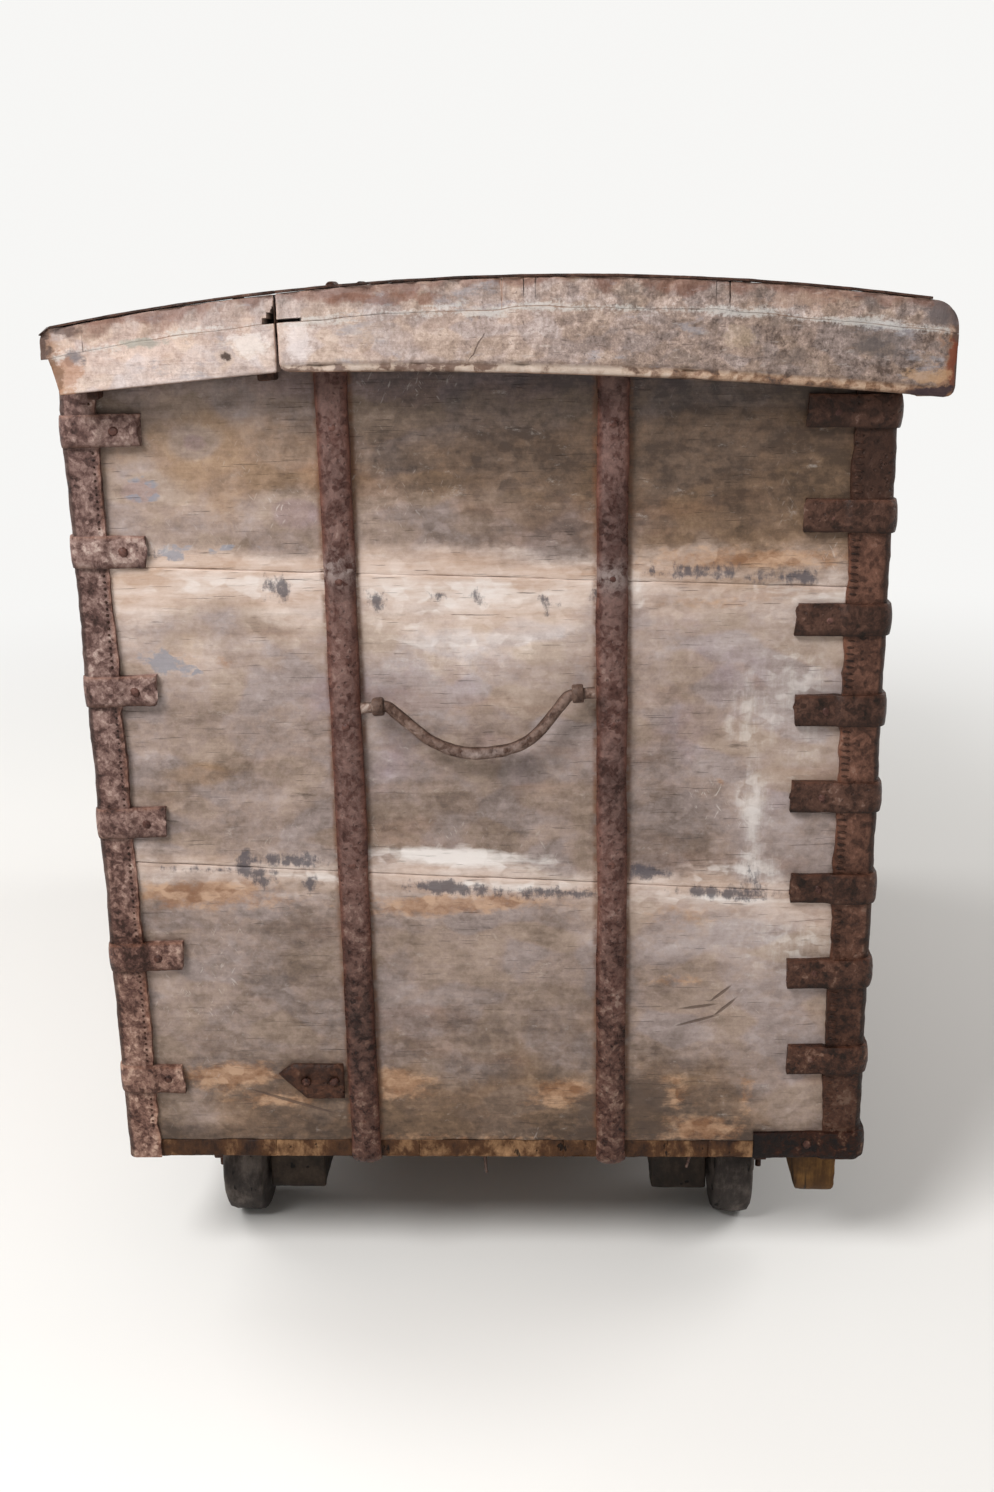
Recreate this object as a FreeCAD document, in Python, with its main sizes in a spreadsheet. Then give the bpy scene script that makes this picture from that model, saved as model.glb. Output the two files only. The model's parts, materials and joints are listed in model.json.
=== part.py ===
import FreeCAD, Part
import math
import os
import Sketcher
from types import SimpleNamespace
from FreeCAD import Placement, Rotation, Vector

# An iron-bound wooden wedding chest on four small wheels, in millimetres.
# X runs along the chest, the front faces -Y, Z is up and the wheels stand on Z = 0.
SIZES = {
    # Body of planks
    "body_length": 1130,
    "body_depth": 690,
    "wall_thickness": 26,
    "rebate_depth": 10,
    "floor_thickness": 18,
    "low_seam_front": 397,
    "low_seam_rear": 432,
    "high_seam_front": 677,
    "high_seam_rear": 704,
    # Arched top: fixed rear section and hinged front lid
    "crown_height": 936,
    "crown_forward": 45,
    "arch_radius": 2250,
    "top_board_thickness": 23,
    "seat_gap": 0.3,
    "joint_back": 158,
    "joint_gap": 2,
    "lid_front_overhang": 41,
    "lid_front_round": 18,
    "rear_top_overhang": 6,
    "fascia_thickness": 25,
    "fascia_strap_gap": 2,
    "fascia_drop": 70.5,
    "fascia_edge_radius": 5170,
    "fascia_corner_round": 10,
    "front_fascia_thickness": 26,
    "rear_fascia_drop": 87,
    "rear_fascia_slant": 7,
    "rail_width": 50,
    "rail_drop": 78,
    "batten_width": 44,
    "batten_depth": 22,
    "batten_spacing": 560,
    "batten_clearance": 8,
    # Half-round straps
    "strap_width": 27,
    "strap_crown": 6,
    "strap_edge": 2,
    "strap_headroom": 6,
    "strap_return": 50,
    "strap_return_thickness": 3,
    "end_strap_pitch": 234,
    "end_strap_back": 3,
    "long_strap_inner": 150,
    "long_strap_inset": 175,
    # Corner irons, clasps and shoes
    "iron_thickness": 2.5,
    "front_iron_leg": 32,
    "rear_iron_leg": 26,
    "clasp_thickness": 3.2,
    "clasp_height": 27,
    "clasp_step": 4,
    "clasp_nail_gap": 3.5,
    "front_clasp_leg": 72,
    "rear_clasp_leg": 60,
    "front_clasp_low": 106,
    "front_clasp_drop": 111,
    "front_clasp_2_shift": 3,
    "front_clasp_3_shift": 1,
    "front_clasp_4_shift": 3,
    "front_clasp_5_shift": -2,
    "front_clasp_6_shift": -6,
    "front_clasp_7_shift": -2,
    "rear_clasp_low": 85,
    "rear_clasp_drop": 118,
    "rear_clasp_2_shift": 3,
    "rear_clasp_3_shift": 14,
    "rear_clasp_4_shift": 16,
    "rear_clasp_5_shift": 19,
    "shoe_leg": 98,
    "shoe_height": 26,
    "shoe_lift": 4,
    # Mending plate by the rear strap of the left end
    "mend_strap_gap": 4.5,
    "mend_lift": 46,
    "mend_length": 62,
    "mend_height": 36,
    "mend_point_height": 26,
    "mend_upper_shoulder": 14,
    "mend_lower_shoulder": 26,
    "plate_thickness": 3,
    # Bail handles on the ends
    "handle_height": 585,
    "handle_tilt": 3.4,
    "handle_rod": 10,
    "handle_drop": 48,
    "handle_bend": 8,
    "handle_tail": 11,
    "handle_strap_gap": 1.5,
    "handle_standoff": 14,
    "eye_diameter": 20,
    "eye_width": 8,
    "eye_clearance": 0.7,
    "eye_shank": 8,
    "eye_depth": 22,
    "running_clearance": 0.1,
    # Iron on the arched top and its hinges
    "top_iron_thickness": 2,
    "edge_strap_width": 34,
    "edge_strap_setback": 4,
    "hinge_spacing": 250,
    "hinge_strap_width": 36,
    "hinge_barrel": 9,
    "hinge_pin": 5,
    "knuckle_gap": 0.5,
    "lid_leaf_setback": 60,
    "rear_leaf_setback": 30,
    # Hasp, lock plate and staple
    "hasp_plate_width": 60,
    "hasp_plate_height": 40,
    "hasp_axis_rise": 14,
    "hasp_barrel": 12,
    "hasp_pin": 6,
    "hasp_width": 36,
    "hasp_thickness": 4,
    "hasp_below_staple": 28,
    "hasp_slot_width": 14,
    "hasp_slot_height": 42,
    "lock_plate_width": 84,
    "lock_plate_height": 112,
    "hasp_drop": 116,
    "staple_thickness": 6,
    "staple_reach": 34,
    "staple_diameter": 32,
    "staple_hole": 16,
    "staple_shank": 10,
    # Wheels and what carries them
    "wheel_diameter": 124,
    "wheel_width": 41,
    "wheel_edge": 4,
    "wheel_floor_gap": 4,
    "wheel_end_inset": 125,
    "front_wheel_inset": 105,
    "rear_wheel_inset": 87,
    "hub_diameter": 52,
    "hub_width": 50,
    "axle_diameter": 20,
    "driven_fit": 0.05,
    "axle_end": 14,
    "axle_block_width": 56,
    "axle_block_length": 76,
    "axle_block_below": 22,
    "axle_block_gap": 1,
    "linch_pin": 6,
    "linch_pin_length": 36,
    "linch_pin_margin": 7,
    # Rounded wood brackets under the front corners
    "bracket_inset": 22,
    "bracket_length": 60,
    "bracket_width": 40,
    "bracket_front": 13,
    "bracket_drop": 54,
    "bracket_round": 14,
    # Hand-made nails
    "nail_head": 9,
    "nail_head_rise": 2.6,
    "nail_shank": 4,
    "nail_length": 22,
    "long_nail_length": 45,
    "nail_hole_clearance": 0.1,
    "strap_nail_margin": 47,
    "leaf_nail_margin": 40,
    "top_nail_margin": 30,
}
FLOOR_BOARD_COUNT = 5
LID_BOARDS = ("lid_front_board", "lid_middle_board", "lid_rear_board")
FRONT_CLASP_COUNT = 8
REAR_CLASP_COUNT = 6
STRAP_NAIL_COUNT = 6
LID_LEAF_NAIL_COUNT = 4
REAR_LEAF_NAIL_COUNT = 2
LID_EDGE_NAIL_COUNT = 5
REAR_EDGE_NAIL_COUNT = 2
BATTEN_NAIL_COUNT = 3
PLANK_ROWS = ("lower", "middle", "upper")
SIDES = {"front": -1, "rear": 1}
ENDS = {"left": -1, "right": 1}
CUT_MARGIN = 20
TOUCH = 0.001
BAIL_ANGLE_DEGREES = 45


class Measure:
    """A size in millimetres that keeps the sheet formula it was worked out from."""

    def __init__(self, value, formula=None):
        self.value = float(value)
        self.formula = formula or repr(float(value))

    @staticmethod
    def of(other):
        return other if isinstance(other, Measure) else Measure(other)

    def join(self, sign, other, value):
        return Measure(value, f"({self.formula} {sign} {Measure.of(other).formula})")

    def __add__(self, other):
        return self.join("+", other, self.value + Measure.of(other).value)

    def __sub__(self, other):
        return self.join("-", other, self.value - Measure.of(other).value)

    def __mul__(self, other):
        return self.join("*", other, self.value * Measure.of(other).value)

    def __truediv__(self, other):
        return self.join("/", other, self.value / Measure.of(other).value)

    def __neg__(self):
        return self * -1

    def __rsub__(self, other):
        return Measure.of(other) - self

    __radd__ = __add__
    __rmul__ = __mul__

    def root(self):
        return Measure(math.sqrt(self.value), f"sqrt({self.formula})")


doc = FreeCAD.newDocument("WeddingChest")
sheet = doc.addObject("Spreadsheet::Sheet", "Sizes")
for row, (alias, number) in enumerate(SIZES.items(), 1):
    sheet.set(f"A{row}", alias)
    sheet.set(f"B{row}", str(number))
    sheet.setAlias(f"B{row}", alias)
doc.recompute()
size = SimpleNamespace(**{alias: Measure(sheet.get(alias), f"Sizes.{alias}") for alias in SIZES})
pieces = {}


def rise_of_arc(radius, run):
    """The height of an arc above its centre, a run to one side of it."""
    return (radius * radius - run * run).root()


# Planes that several pieces share. The part is centred on Y = 0, so the body, which
# has the deeper overhang in front, stands a little back.
half_length = size.body_length / 2
half_depth = size.body_depth / 2
front_reach = half_depth + size.lid_front_overhang + size.seat_gap + size.hasp_barrel
rear_reach = half_depth + size.strap_crown + size.nail_head_rise
middle = (front_reach - rear_reach) / 2
front_face = middle - half_depth
rear_face = middle + half_depth
floor_bottom = size.wheel_diameter + size.wheel_floor_gap
floor_top = floor_bottom + size.floor_thickness
fascia_inner = half_length + size.strap_crown + size.fascia_strap_gap
lid_end = fascia_inner + size.fascia_thickness
lid_front = front_face - size.lid_front_overhang
joint = middle + size.joint_back
lid_rear = joint - size.joint_gap / 2
rear_top_front = joint + size.joint_gap / 2
rear_top_end = rear_face + size.rear_top_overhang
crown = middle - size.crown_forward
arch_centre = size.crown_height - size.arch_radius
fascia_edge = size.crown_height - size.fascia_drop
edge_centre = fascia_edge - size.fascia_edge_radius
edge_run = joint - lid_front
front_fascia_bottom = edge_centre + rise_of_arc(size.fascia_edge_radius, edge_run)
joint_run = joint - crown
joint_top = arch_centre + rise_of_arc(size.arch_radius, joint_run)
above_all = size.crown_height + CUT_MARGIN
under_radius = size.arch_radius - size.top_board_thickness
end_strap_middle = middle + size.end_strap_back
hinge_height = joint_top + size.seat_gap + size.hinge_barrel / 2
hasp_axis_y = lid_front - size.seat_gap - size.hasp_barrel / 2
hasp_axis_z = front_fascia_bottom + size.hasp_axis_rise
staple_height = hasp_axis_z - size.hasp_drop


def bind(thing, **formulas):
    """Ties properties of one object to the sheet; two underscores stand for a dot."""
    for name, measure in formulas.items():
        thing.setExpression(name.replace("__", "."), Measure.of(measure).formula)


def place(thing, x, y, z):
    bind(thing, Placement__Base__x=x, Placement__Base__y=y, Placement__Base__z=z)


def add(kind, label, **links):
    thing = doc.addObject(kind, label)
    thing.Label = label
    for name, value in links.items():
        setattr(thing, name, value)
    return thing


def box(label, x, y, z):
    """A block between the low and high plane given for each axis."""
    block = add("Part::Box", label)
    bind(block, Length=x[1] - x[0], Width=y[1] - y[0], Height=z[1] - z[0])
    place(block, x[0], y[0], z[0])
    return block


def rod(label, direction, start, length, radius):
    """A round bar from the start point along a direction."""
    bar = add("Part::Cylinder", label)
    bar.Placement = Placement(Vector(), Rotation(Vector(0, 0, 1), Vector(*direction)))
    bind(bar, Radius=radius, Height=length)
    place(bar, *start)
    return bar


def bend(label, start_axis, sweep_axis, centre, radius, thickness, angle):
    """A bent stretch of round bar, from one direction about its centre towards another."""
    turn = add("Part::Torus", label, Angle3=angle)
    first = Vector(*start_axis).normalize()
    second = Vector(*sweep_axis).normalize()
    turn.Placement = Placement(Vector(), Rotation(first, second, first.cross(second), "XYZ"))
    bind(turn, Radius1=radius, Radius2=thickness)
    place(turn, *centre)
    return turn


def cut(label, base, tool):
    return add("Part::Cut", label, Base=base, Tool=tool)


def common(label, base, tool):
    return add("Part::Common", label, Base=base, Tool=tool)


def fuse(label, *shapes):
    return add("Part::MultiFuse", label, Shapes=list(shapes))


def group(label, *shapes):
    return add("Part::Compound", label, Links=list(shapes))


def mirror(label, source):
    """The same piece on the other end of the chest."""
    return add("Part::Mirroring", label, Source=source, Normal=Vector(1, 0, 0), Base=Vector())


def repeat(label, source, x=0, y=0, z=0):
    """A copy of a piece moved by the given amounts."""
    twin = add("App::Link", label, LinkedObject=source, LinkTransform=True)
    place(twin, x, y, z)
    return twin


def plate(label, plane, points, start, thickness):
    """A straight-edged outline on an origin plane, raised from start along that plane's normal."""
    body = add("PartDesign::Body", label)
    support = next(item for item in body.Origin.OriginFeatures if item.Role == plane)
    sketch = body.newObject("Sketcher::SketchObject", f"{label}_outline")
    sketch.AttachmentSupport = [(support, "")]
    sketch.MapMode = "FlatFace"
    bind(sketch, AttachmentOffset__Base__z=start)
    corners = [Vector(x.value, y.value, 0) for x, y in points]
    count = len(corners)
    for index, corner in enumerate(corners):
        sketch.addGeometry(Part.LineSegment(corner, corners[(index + 1) % count]), False)
    for index in range(count):
        sketch.addConstraint(Sketcher.Constraint("Coincident", index, 2, (index + 1) % count, 1))
    for index, (x, y) in enumerate(points):
        for kind, measure in (("DistanceX", x), ("DistanceY", y)):
            number = sketch.addConstraint(Sketcher.Constraint(kind, -1, 1, index, 1, measure.value))
            sketch.renameConstraint(number, f"corner{index}{kind}")
            sketch.setExpression(f"Constraints.corner{index}{kind}", measure.formula)
    pad = body.newObject("PartDesign::Pad", f"{label}_pad")
    pad.Profile = sketch
    bind(pad, Length=thickness)
    return body


def soften(kind, label, base, amount, chosen):
    """Rounds (Part::Fillet) or bevels (Part::Chamfer) the edges that a test picks out."""
    doc.recompute()
    numbers = [number for number, edge in enumerate(base.Shape.Edges, 1) if chosen(edge)]
    if not numbers:
        raise RuntimeError(f"{label} has no edge to soften")
    return add(kind, label, Base=base, Edges=[(number, amount.value, amount.value) for number in numbers])


def keep(label, thing):
    """Makes an object one of the chest's named pieces."""
    thing.Label = label
    pieces[label] = thing
    return thing


def spread(low, high, count):
    """Evenly spaced positions from the low to the high one."""
    step = (high.value - low.value) / (count - 1)
    return [low.value + step * index for index in range(count)]


def arch_point(x, y, rise):
    """A point above the boards of the arched top, with the direction that faces away from them."""
    outward = Vector(0, y - crown.value, 0)
    outward.z = math.sqrt(size.arch_radius.value ** 2 - outward.y ** 2)
    outward.normalize()
    radius = size.arch_radius.value + rise.value
    return Vector(x, crown.value + outward.y * radius, arch_centre.value + outward.z * radius), outward


def nail(point, outward, length):
    """A pointed nail with a low hammered head, driven in against its outward direction."""
    head = size.nail_head.value / 2
    rise = size.nail_head_rise.value
    shank = size.nail_shank.value / 2
    outline = [(0, -length), (shank, -length + 2 * shank), (shank, 0), (head, 0), (0.7 * head, 0.75 * rise),
               (0, rise), (0, -length)]
    face = Part.Face(Part.makePolygon([Vector(radius, 0, height) for radius, height in outline]))
    solid = face.revolve(Vector(), Vector(0, 0, 1), 360)
    solid.Placement = Placement(point, Rotation(Vector(0, 0, 1), outward))
    return solid


def nails(label, places, length):
    """A group of nails of one length."""
    solids = [nail(point, outward, length.value) for point, outward in places]
    return add("Part::Feature", label, Shape=Part.makeCompound(solids))


def punched(label, iron, places):
    """Iron with a round hole for each nail that passes through it."""
    radius = size.nail_shank.value / 2 + size.nail_hole_clearance.value
    holes = []
    for point, outward in places:
        holes.append(Part.makeCylinder(radius, 2 * CUT_MARGIN, point - outward * CUT_MARGIN, outward))
    punches = add("Part::Feature", f"{label}_punches")
    punches.Shape = Part.makeCompound(holes)
    return cut(label, iron, punches)


def flipped(places):
    """The same nail places on the other end of the chest."""
    return [(Vector(-point.x, point.y, point.z), Vector(-out.x, out.y, out.z)) for point, out in places]


def long_rod(label, radius, centre_y, centre_z):
    """A round bar that runs past both ends of the lid, for cutting arched faces."""
    half = lid_end + CUT_MARGIN
    return rod(label, (1, 0, 0), (-half, centre_y, centre_z), half * 2, radius)


# Arched faces that the walls, boards and irons of the top share
iron_rise = size.seat_gap + size.top_iron_thickness
board_outside = long_rod("board_outside", size.arch_radius, crown, arch_centre)
board_inside = long_rod("board_inside", under_radius, crown, arch_centre)
wall_seat = long_rod("wall_seat", under_radius - size.seat_gap, crown, arch_centre)
batten_inside = long_rod("batten_inside", under_radius - size.batten_depth, crown, arch_centre)
iron_inside = long_rod("iron_inside", size.arch_radius + size.seat_gap, crown, arch_centre)
iron_outside = long_rod("iron_outside", size.arch_radius + iron_rise, crown, arch_centre)
board_arch = cut("board_arch", board_outside, board_inside)
iron_arch = cut("iron_arch", iron_outside, iron_inside)
batten_arch = cut("batten_arch", board_inside, batten_inside)


def arched(label, arch, x, y):
    """The stretch of an arched layer between planes across and along the chest."""
    return common(label, arch, box(f"{label}_span", x, y, (floor_top, above_all)))


def make_end_planks():
    """Three planks to an end; the seams fall towards the front, and the top follows the arch."""
    seams = [
        (floor_top, floor_top),
        (size.low_seam_front, size.low_seam_rear),
        (size.high_seam_front, size.high_seam_rear),
        (above_all, above_all),
    ]
    inner_face = -half_length + size.wall_thickness
    rebate_x = (inner_face - size.rebate_depth, inner_face + CUT_MARGIN)
    rebate_z = (floor_top - CUT_MARGIN, above_all + CUT_MARGIN)
    front_y = (front_face - CUT_MARGIN, front_face + size.wall_thickness)
    rear_y = (rear_face - size.wall_thickness, rear_face + CUT_MARGIN)
    front_rebate = box("front_rebate", rebate_x, front_y, rebate_z)
    rear_rebate = box("rear_rebate", rebate_x, rear_y, rebate_z)
    rebates = group("end_rebates", front_rebate, rear_rebate)
    for row, low, high in zip(PLANK_ROWS, seams, seams[1:]):
        outline = [(front_face, low[0]), (rear_face, low[1]), (rear_face, high[1]), (front_face, high[0])]
        blank = plate(f"{row}_end_blank", "YZ_Plane", outline, -half_length, size.wall_thickness)
        plank = cut(f"{row}_end_rebated", blank, rebates)
        if row == "upper":
            plank = common("upper_end_arched", plank, wall_seat)
        keep(f"left_end_{row}_plank", plank)
        keep(f"right_end_{row}_plank", mirror(f"right_end_{row}", plank))


def make_long_planks():
    """Three planks each to the front and the rear, let into the rebates of the ends."""
    half = half_length - size.wall_thickness + size.rebate_depth
    heights = {
        "front": (floor_top, size.low_seam_front, size.high_seam_front, above_all),
        "rear": (floor_top, size.low_seam_rear, size.high_seam_rear, above_all),
    }
    depths = {
        "front": (front_face, front_face + size.wall_thickness),
        "rear": (rear_face - size.wall_thickness, rear_face),
    }
    hole_start = (Measure(0), front_face, staple_height)
    hole_radius = size.staple_shank / 2 + size.driven_fit
    shank_hole = rod("staple_shank_hole", (0, 1, 0), hole_start, size.eye_depth, hole_radius)
    for side in SIDES:
        for row, low, high in zip(PLANK_ROWS, heights[side], heights[side][1:]):
            plank = box(f"{side}_{row}_blank", (-half, half), depths[side], (low, high))
            if row == "upper":
                plank = common(f"{side}_upper_arched", plank, wall_seat)
            if side == "front":
                plank = cut(f"front_{row}_drilled", plank, shank_hole)
            keep(f"{side}_{row}_plank", plank)


def make_floor():
    """Floor boards laid along the chest; their end grain shows under the end planks."""
    width = size.body_depth / FLOOR_BOARD_COUNT
    length = (-half_length, half_length)
    height = (floor_bottom, floor_top)
    boards = []
    for index in range(FLOOR_BOARD_COUNT):
        span = (front_face + width * index, front_face + width * (index + 1))
        boards.append(box(f"floor_board_{index}", length, span, height))
    keep("floor_boards", group("floor", *boards))


def make_rear_top():
    """The fixed rear section of the top: one board, its end fascias and the rail under the joint."""
    board = arched("rear_top", board_arch, (-lid_end, lid_end), (rear_top_front, rear_top_end))
    keep("rear_top_board", board)
    rail_y = (joint - size.rail_width / 2, joint + size.rail_width / 2)
    rail_half = half_length - size.wall_thickness
    rail_z = (size.crown_height - size.rail_drop, above_all)
    rail = box("rail_blank", (-rail_half, rail_half), rail_y, rail_z)
    keep("hinge_rail", common("rail_arched", rail, wall_seat))
    lower_end = rear_top_end - size.rear_fascia_slant
    outline = [
        (rear_top_front, fascia_edge),
        (lower_end, size.crown_height - size.rear_fascia_drop),
        (rear_top_end, size.crown_height),
        (rear_top_front, size.crown_height),
    ]
    blank = plate("rear_fascia_blank", "YZ_Plane", outline, -lid_end, size.fascia_thickness)
    fascia = keep("rear_left_fascia", common("rear_fascia_arched", blank, board_inside))
    keep("rear_right_fascia", mirror("rear_fascia_mirrored", fascia))


def make_lid():
    """The hinged lid: three boards on two battens, with fascias at both ends and along the front."""
    width = (lid_rear - lid_front) / len(LID_BOARDS)
    for index, name in enumerate(LID_BOARDS):
        span = (lid_front + width * index, lid_front + width * (index + 1))
        board = arched(f"{name}_flat", board_arch, (-lid_end, lid_end), span)
        if index == 0:
            board = soften("Part::Fillet", f"{name}_rounded", board, size.lid_front_round, top_front_edge)
        keep(name, board)
    lower_face = long_rod("fascia_lower_face", size.fascia_edge_radius, joint, edge_centre)
    fascia_z = (front_fascia_bottom - CUT_MARGIN, above_all)
    blank = box("lid_fascia_blank", (-lid_end, -fascia_inner), (lid_front, lid_rear), fascia_z)
    curved = cut("lid_fascia_curved", common("lid_fascia_arched", blank, board_inside), lower_face)
    corner_round = size.fascia_corner_round
    rounded = soften("Part::Fillet", "lid_fascia_rounded", curved, corner_round, bottom_front_edge)
    keep("lid_left_fascia", rounded)
    keep("lid_right_fascia", mirror("lid_fascia_mirrored", rounded))
    front_x = (-fascia_inner, fascia_inner)
    front_y = (lid_front, lid_front + size.front_fascia_thickness)
    front_blank = box("front_fascia_blank", front_x, front_y, (front_fascia_bottom, above_all))
    keep("lid_front_fascia", common("front_fascia_arched", front_blank, board_inside))
    batten_y = (front_face + size.wall_thickness + size.batten_clearance,
                joint - size.rail_width / 2 - size.batten_clearance)
    near = size.batten_spacing / 2 - size.batten_width / 2
    batten = arched("batten", batten_arch, (near, near + size.batten_width), batten_y)
    keep("lid_battens", group("battens", batten, mirror("batten_mirrored", batten)))


def runs_along_chest(edge):
    first, last = edge.Vertexes[0].Point, edge.Vertexes[-1].Point
    return abs(first.x - last.x) > size.fascia_thickness.value / 2


def at_lid_front(edge):
    return all(abs(vertex.Y - lid_front.value) < TOUCH for vertex in edge.Vertexes)


def at_height(edge, height):
    return all(abs(vertex.Z - height.value) < TOUCH for vertex in edge.Vertexes)


def top_front_edge(edge):
    """The upper front arris of the lid's front board."""
    corner = arch_centre + rise_of_arc(size.arch_radius, lid_front - crown)
    return runs_along_chest(edge) and at_lid_front(edge) and at_height(edge, corner)


def bottom_front_edge(edge):
    """The lower front arris of a lid end fascia."""
    return runs_along_chest(edge) and at_lid_front(edge) and at_height(edge, front_fascia_bottom)


def iron_top(y):
    """The height where irons on a wall stop, a little under the boards of the arched top."""
    return arch_centre + rise_of_arc(under_radius, y - crown) - size.strap_headroom


def half_round(label, face, along, width_span, top, outward):
    """A half-round strap up a wall face, with a foot turned in under the floor."""
    bottom = floor_bottom - size.strap_return_thickness
    rise = size.strap_crown - size.strap_edge
    half = size.strap_width / 2
    radius = (half * half + rise * rise) / (rise * 2)
    surface = face + size.strap_crown * outward
    centre = surface - radius * outward
    foot_end = face - size.strap_return * outward
    foot_start = face + size.strap_edge * outward
    wall_span = (face, surface) if outward > 0 else (surface, face)
    foot_span = (foot_end, foot_start) if outward > 0 else (foot_start, foot_end)
    spans = (wall_span, width_span) if along == "X" else (width_span, wall_span)
    feet = (foot_span, width_span) if along == "X" else (width_span, foot_span)
    across = (width_span[0] + width_span[1]) / 2
    start = (centre, across, bottom) if along == "X" else (across, centre, bottom)
    bar = box(f"{label}_bar", *spans, (bottom, top))
    rounding = rod(f"{label}_round", (0, 0, 1), start, top - bottom, radius)
    foot = box(f"{label}_foot", *feet, (bottom, floor_bottom))
    return fuse(label, common(f"{label}_section", bar, rounding), foot)


def strap_nail_heights():
    """Heights of the nails in a strap, clear of its foot and of the fascias."""
    low = floor_top + size.strap_nail_margin / 2
    return spread(low, fascia_edge - size.strap_nail_margin, STRAP_NAIL_COUNT)


def make_end_straps():
    """Two half-round straps up each end; returns their nail places."""
    straps = []
    places = []
    for number, sign in enumerate((-1, 1)):
        centre = end_strap_middle + size.end_strap_pitch / 2 * sign
        span = (centre - size.strap_width / 2, centre + size.strap_width / 2)
        straps.append(half_round(f"end_strap_{number}", -half_length, "X", span, iron_top(centre), -1))
        for height in strap_nail_heights():
            surface = Vector(-half_length.value - size.strap_crown.value, centre.value, height)
            places.append((surface, Vector(-1, 0, 0)))
    left = keep("left_end_straps", punched("left_straps", group("end_straps", *straps), places))
    keep("right_end_straps", mirror("right_straps", left))
    return places + flipped(places)


def make_long_straps():
    """Four straps each up the front and the rear; returns their nail places."""
    outer = half_length - size.long_strap_inset
    offsets = (-outer, -size.long_strap_inner, size.long_strap_inner, outer)
    places = []
    for side, outward in SIDES.items():
        face = middle + half_depth * outward
        top = iron_top(face + (size.strap_crown + size.rear_top_overhang) * outward)
        straps = []
        holes = []
        for number, centre in enumerate(offsets):
            span = (centre - size.strap_width / 2, centre + size.strap_width / 2)
            straps.append(half_round(f"{side}_strap_{number}", face, "Y", span, top, outward))
            for height in strap_nail_heights():
                surface = Vector(centre.value, face.value + size.strap_crown.value * outward, height)
                holes.append((surface, Vector(0, outward, 0)))
        keep(f"{side}_straps", punched(f"{side}_strap_set", group(f"{side}_strap_bars", *straps), holes))
        places += holes
    return places


def outer_lip_of(side):
    """How far from the corner a clasp starts to step down from the corner iron to the planks."""
    return getattr(size, f"{side}_iron_leg") + size.seat_gap + size.clasp_thickness / 2


def corner_outline(side, leg):
    """Plan of a strap bent round a left corner, lying over the corner iron and then on the planks."""
    iron_leg = getattr(size, f"{side}_iron_leg")
    iron = size.iron_thickness
    thickness = size.clasp_thickness
    outward = SIDES[side]
    face = middle + half_depth * outward

    def on_end(inward, rise):
        return -half_length - rise, face - inward * outward

    def on_long(inward, rise):
        return -half_length + inward, face + rise * outward

    over = iron + thickness
    step = size.clasp_step
    lip = iron_leg + size.seat_gap
    outer_lip = outer_lip_of(side)
    return [
        on_long(leg, thickness),
        on_long(outer_lip + step, thickness),
        on_long(outer_lip, over),
        (-half_length - over, face + over * outward),
        on_end(outer_lip, over),
        on_end(outer_lip + step, thickness),
        on_end(leg, thickness),
        on_end(leg, Measure(0)),
        on_end(lip + step, Measure(0)),
        on_end(lip, iron),
        (-half_length - iron, face + iron * outward),
        on_long(lip, iron),
        on_long(lip + step, Measure(0)),
        on_long(leg, Measure(0)),
    ]


def corner_nails(side, height):
    """Nail places on both legs of a clasp or shoe at a left corner."""
    outward = SIDES[side]
    face = middle.value + half_depth.value * outward
    inward = (outer_lip_of(side) + size.clasp_step + size.nail_head / 2 + size.clasp_nail_gap).value
    rise = size.clasp_thickness.value
    on_end = Vector(-half_length.value - rise, face - inward * outward, height)
    on_long = Vector(-half_length.value + inward, face + rise * outward, height)
    return [(on_end, Vector(-1, 0, 0)), (on_long, Vector(0, outward, 0))]


def make_corner_irons():
    """A thin angle iron up each corner."""
    for side, outward in SIDES.items():
        leg = getattr(size, f"{side}_iron_leg")
        face = middle + half_depth * outward
        thick = size.iron_thickness
        outline = [
            (-half_length - thick, face + thick * outward),
            (-half_length + leg, face + thick * outward),
            (-half_length + leg, face),
            (-half_length, face),
            (-half_length, face - leg * outward),
            (-half_length - thick, face - leg * outward),
        ]
        height = iron_top(face + thick * outward) - floor_bottom
        iron = plate(f"{side}_corner_angle", "XY_Plane", outline, floor_bottom, height)
        keep(f"{side}_left_corner_iron", iron)
        keep(f"{side}_right_corner_iron", mirror(f"{side}_corner_mirrored", iron))


def clasp_heights(side, count):
    """Heights of one corner's clasps: evenly spaced, with the shifts of hand work."""
    low = floor_bottom + getattr(size, f"{side}_clasp_low")
    high = size.crown_height - getattr(size, f"{side}_clasp_drop")
    heights = []
    for index in range(count):
        shift = getattr(size, f"{side}_clasp_{index + 1}_shift", 0)
        heights.append(low + (high - low) * (index / (count - 1)) + shift)
    return heights


def make_clasps():
    """Short straps bent round the corners at uneven heights; returns their nail places."""
    places = []
    for side, count in (("front", FRONT_CLASP_COUNT), ("rear", REAR_CLASP_COUNT)):
        leg = getattr(size, f"{side}_clasp_leg")
        outline = corner_outline(side, leg)
        pattern = plate(f"{side}_clasp", "XY_Plane", outline, -size.clasp_height / 2, size.clasp_height)
        clasps = []
        holes = []
        for number, height in enumerate(clasp_heights(side, count)):
            clasps.append(repeat(f"{side}_clasp_{number}", pattern, z=height))
            holes += corner_nails(side, height.value)
        left = punched(f"{side}_left_clasps", group(f"{side}_clasp_row", *clasps), holes)
        keep(f"{side}_clasps", group(f"{side}_clasp_set", left, mirror(f"{side}_clasps_mirrored", left)))
        places += holes + flipped(holes)
    return places


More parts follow.
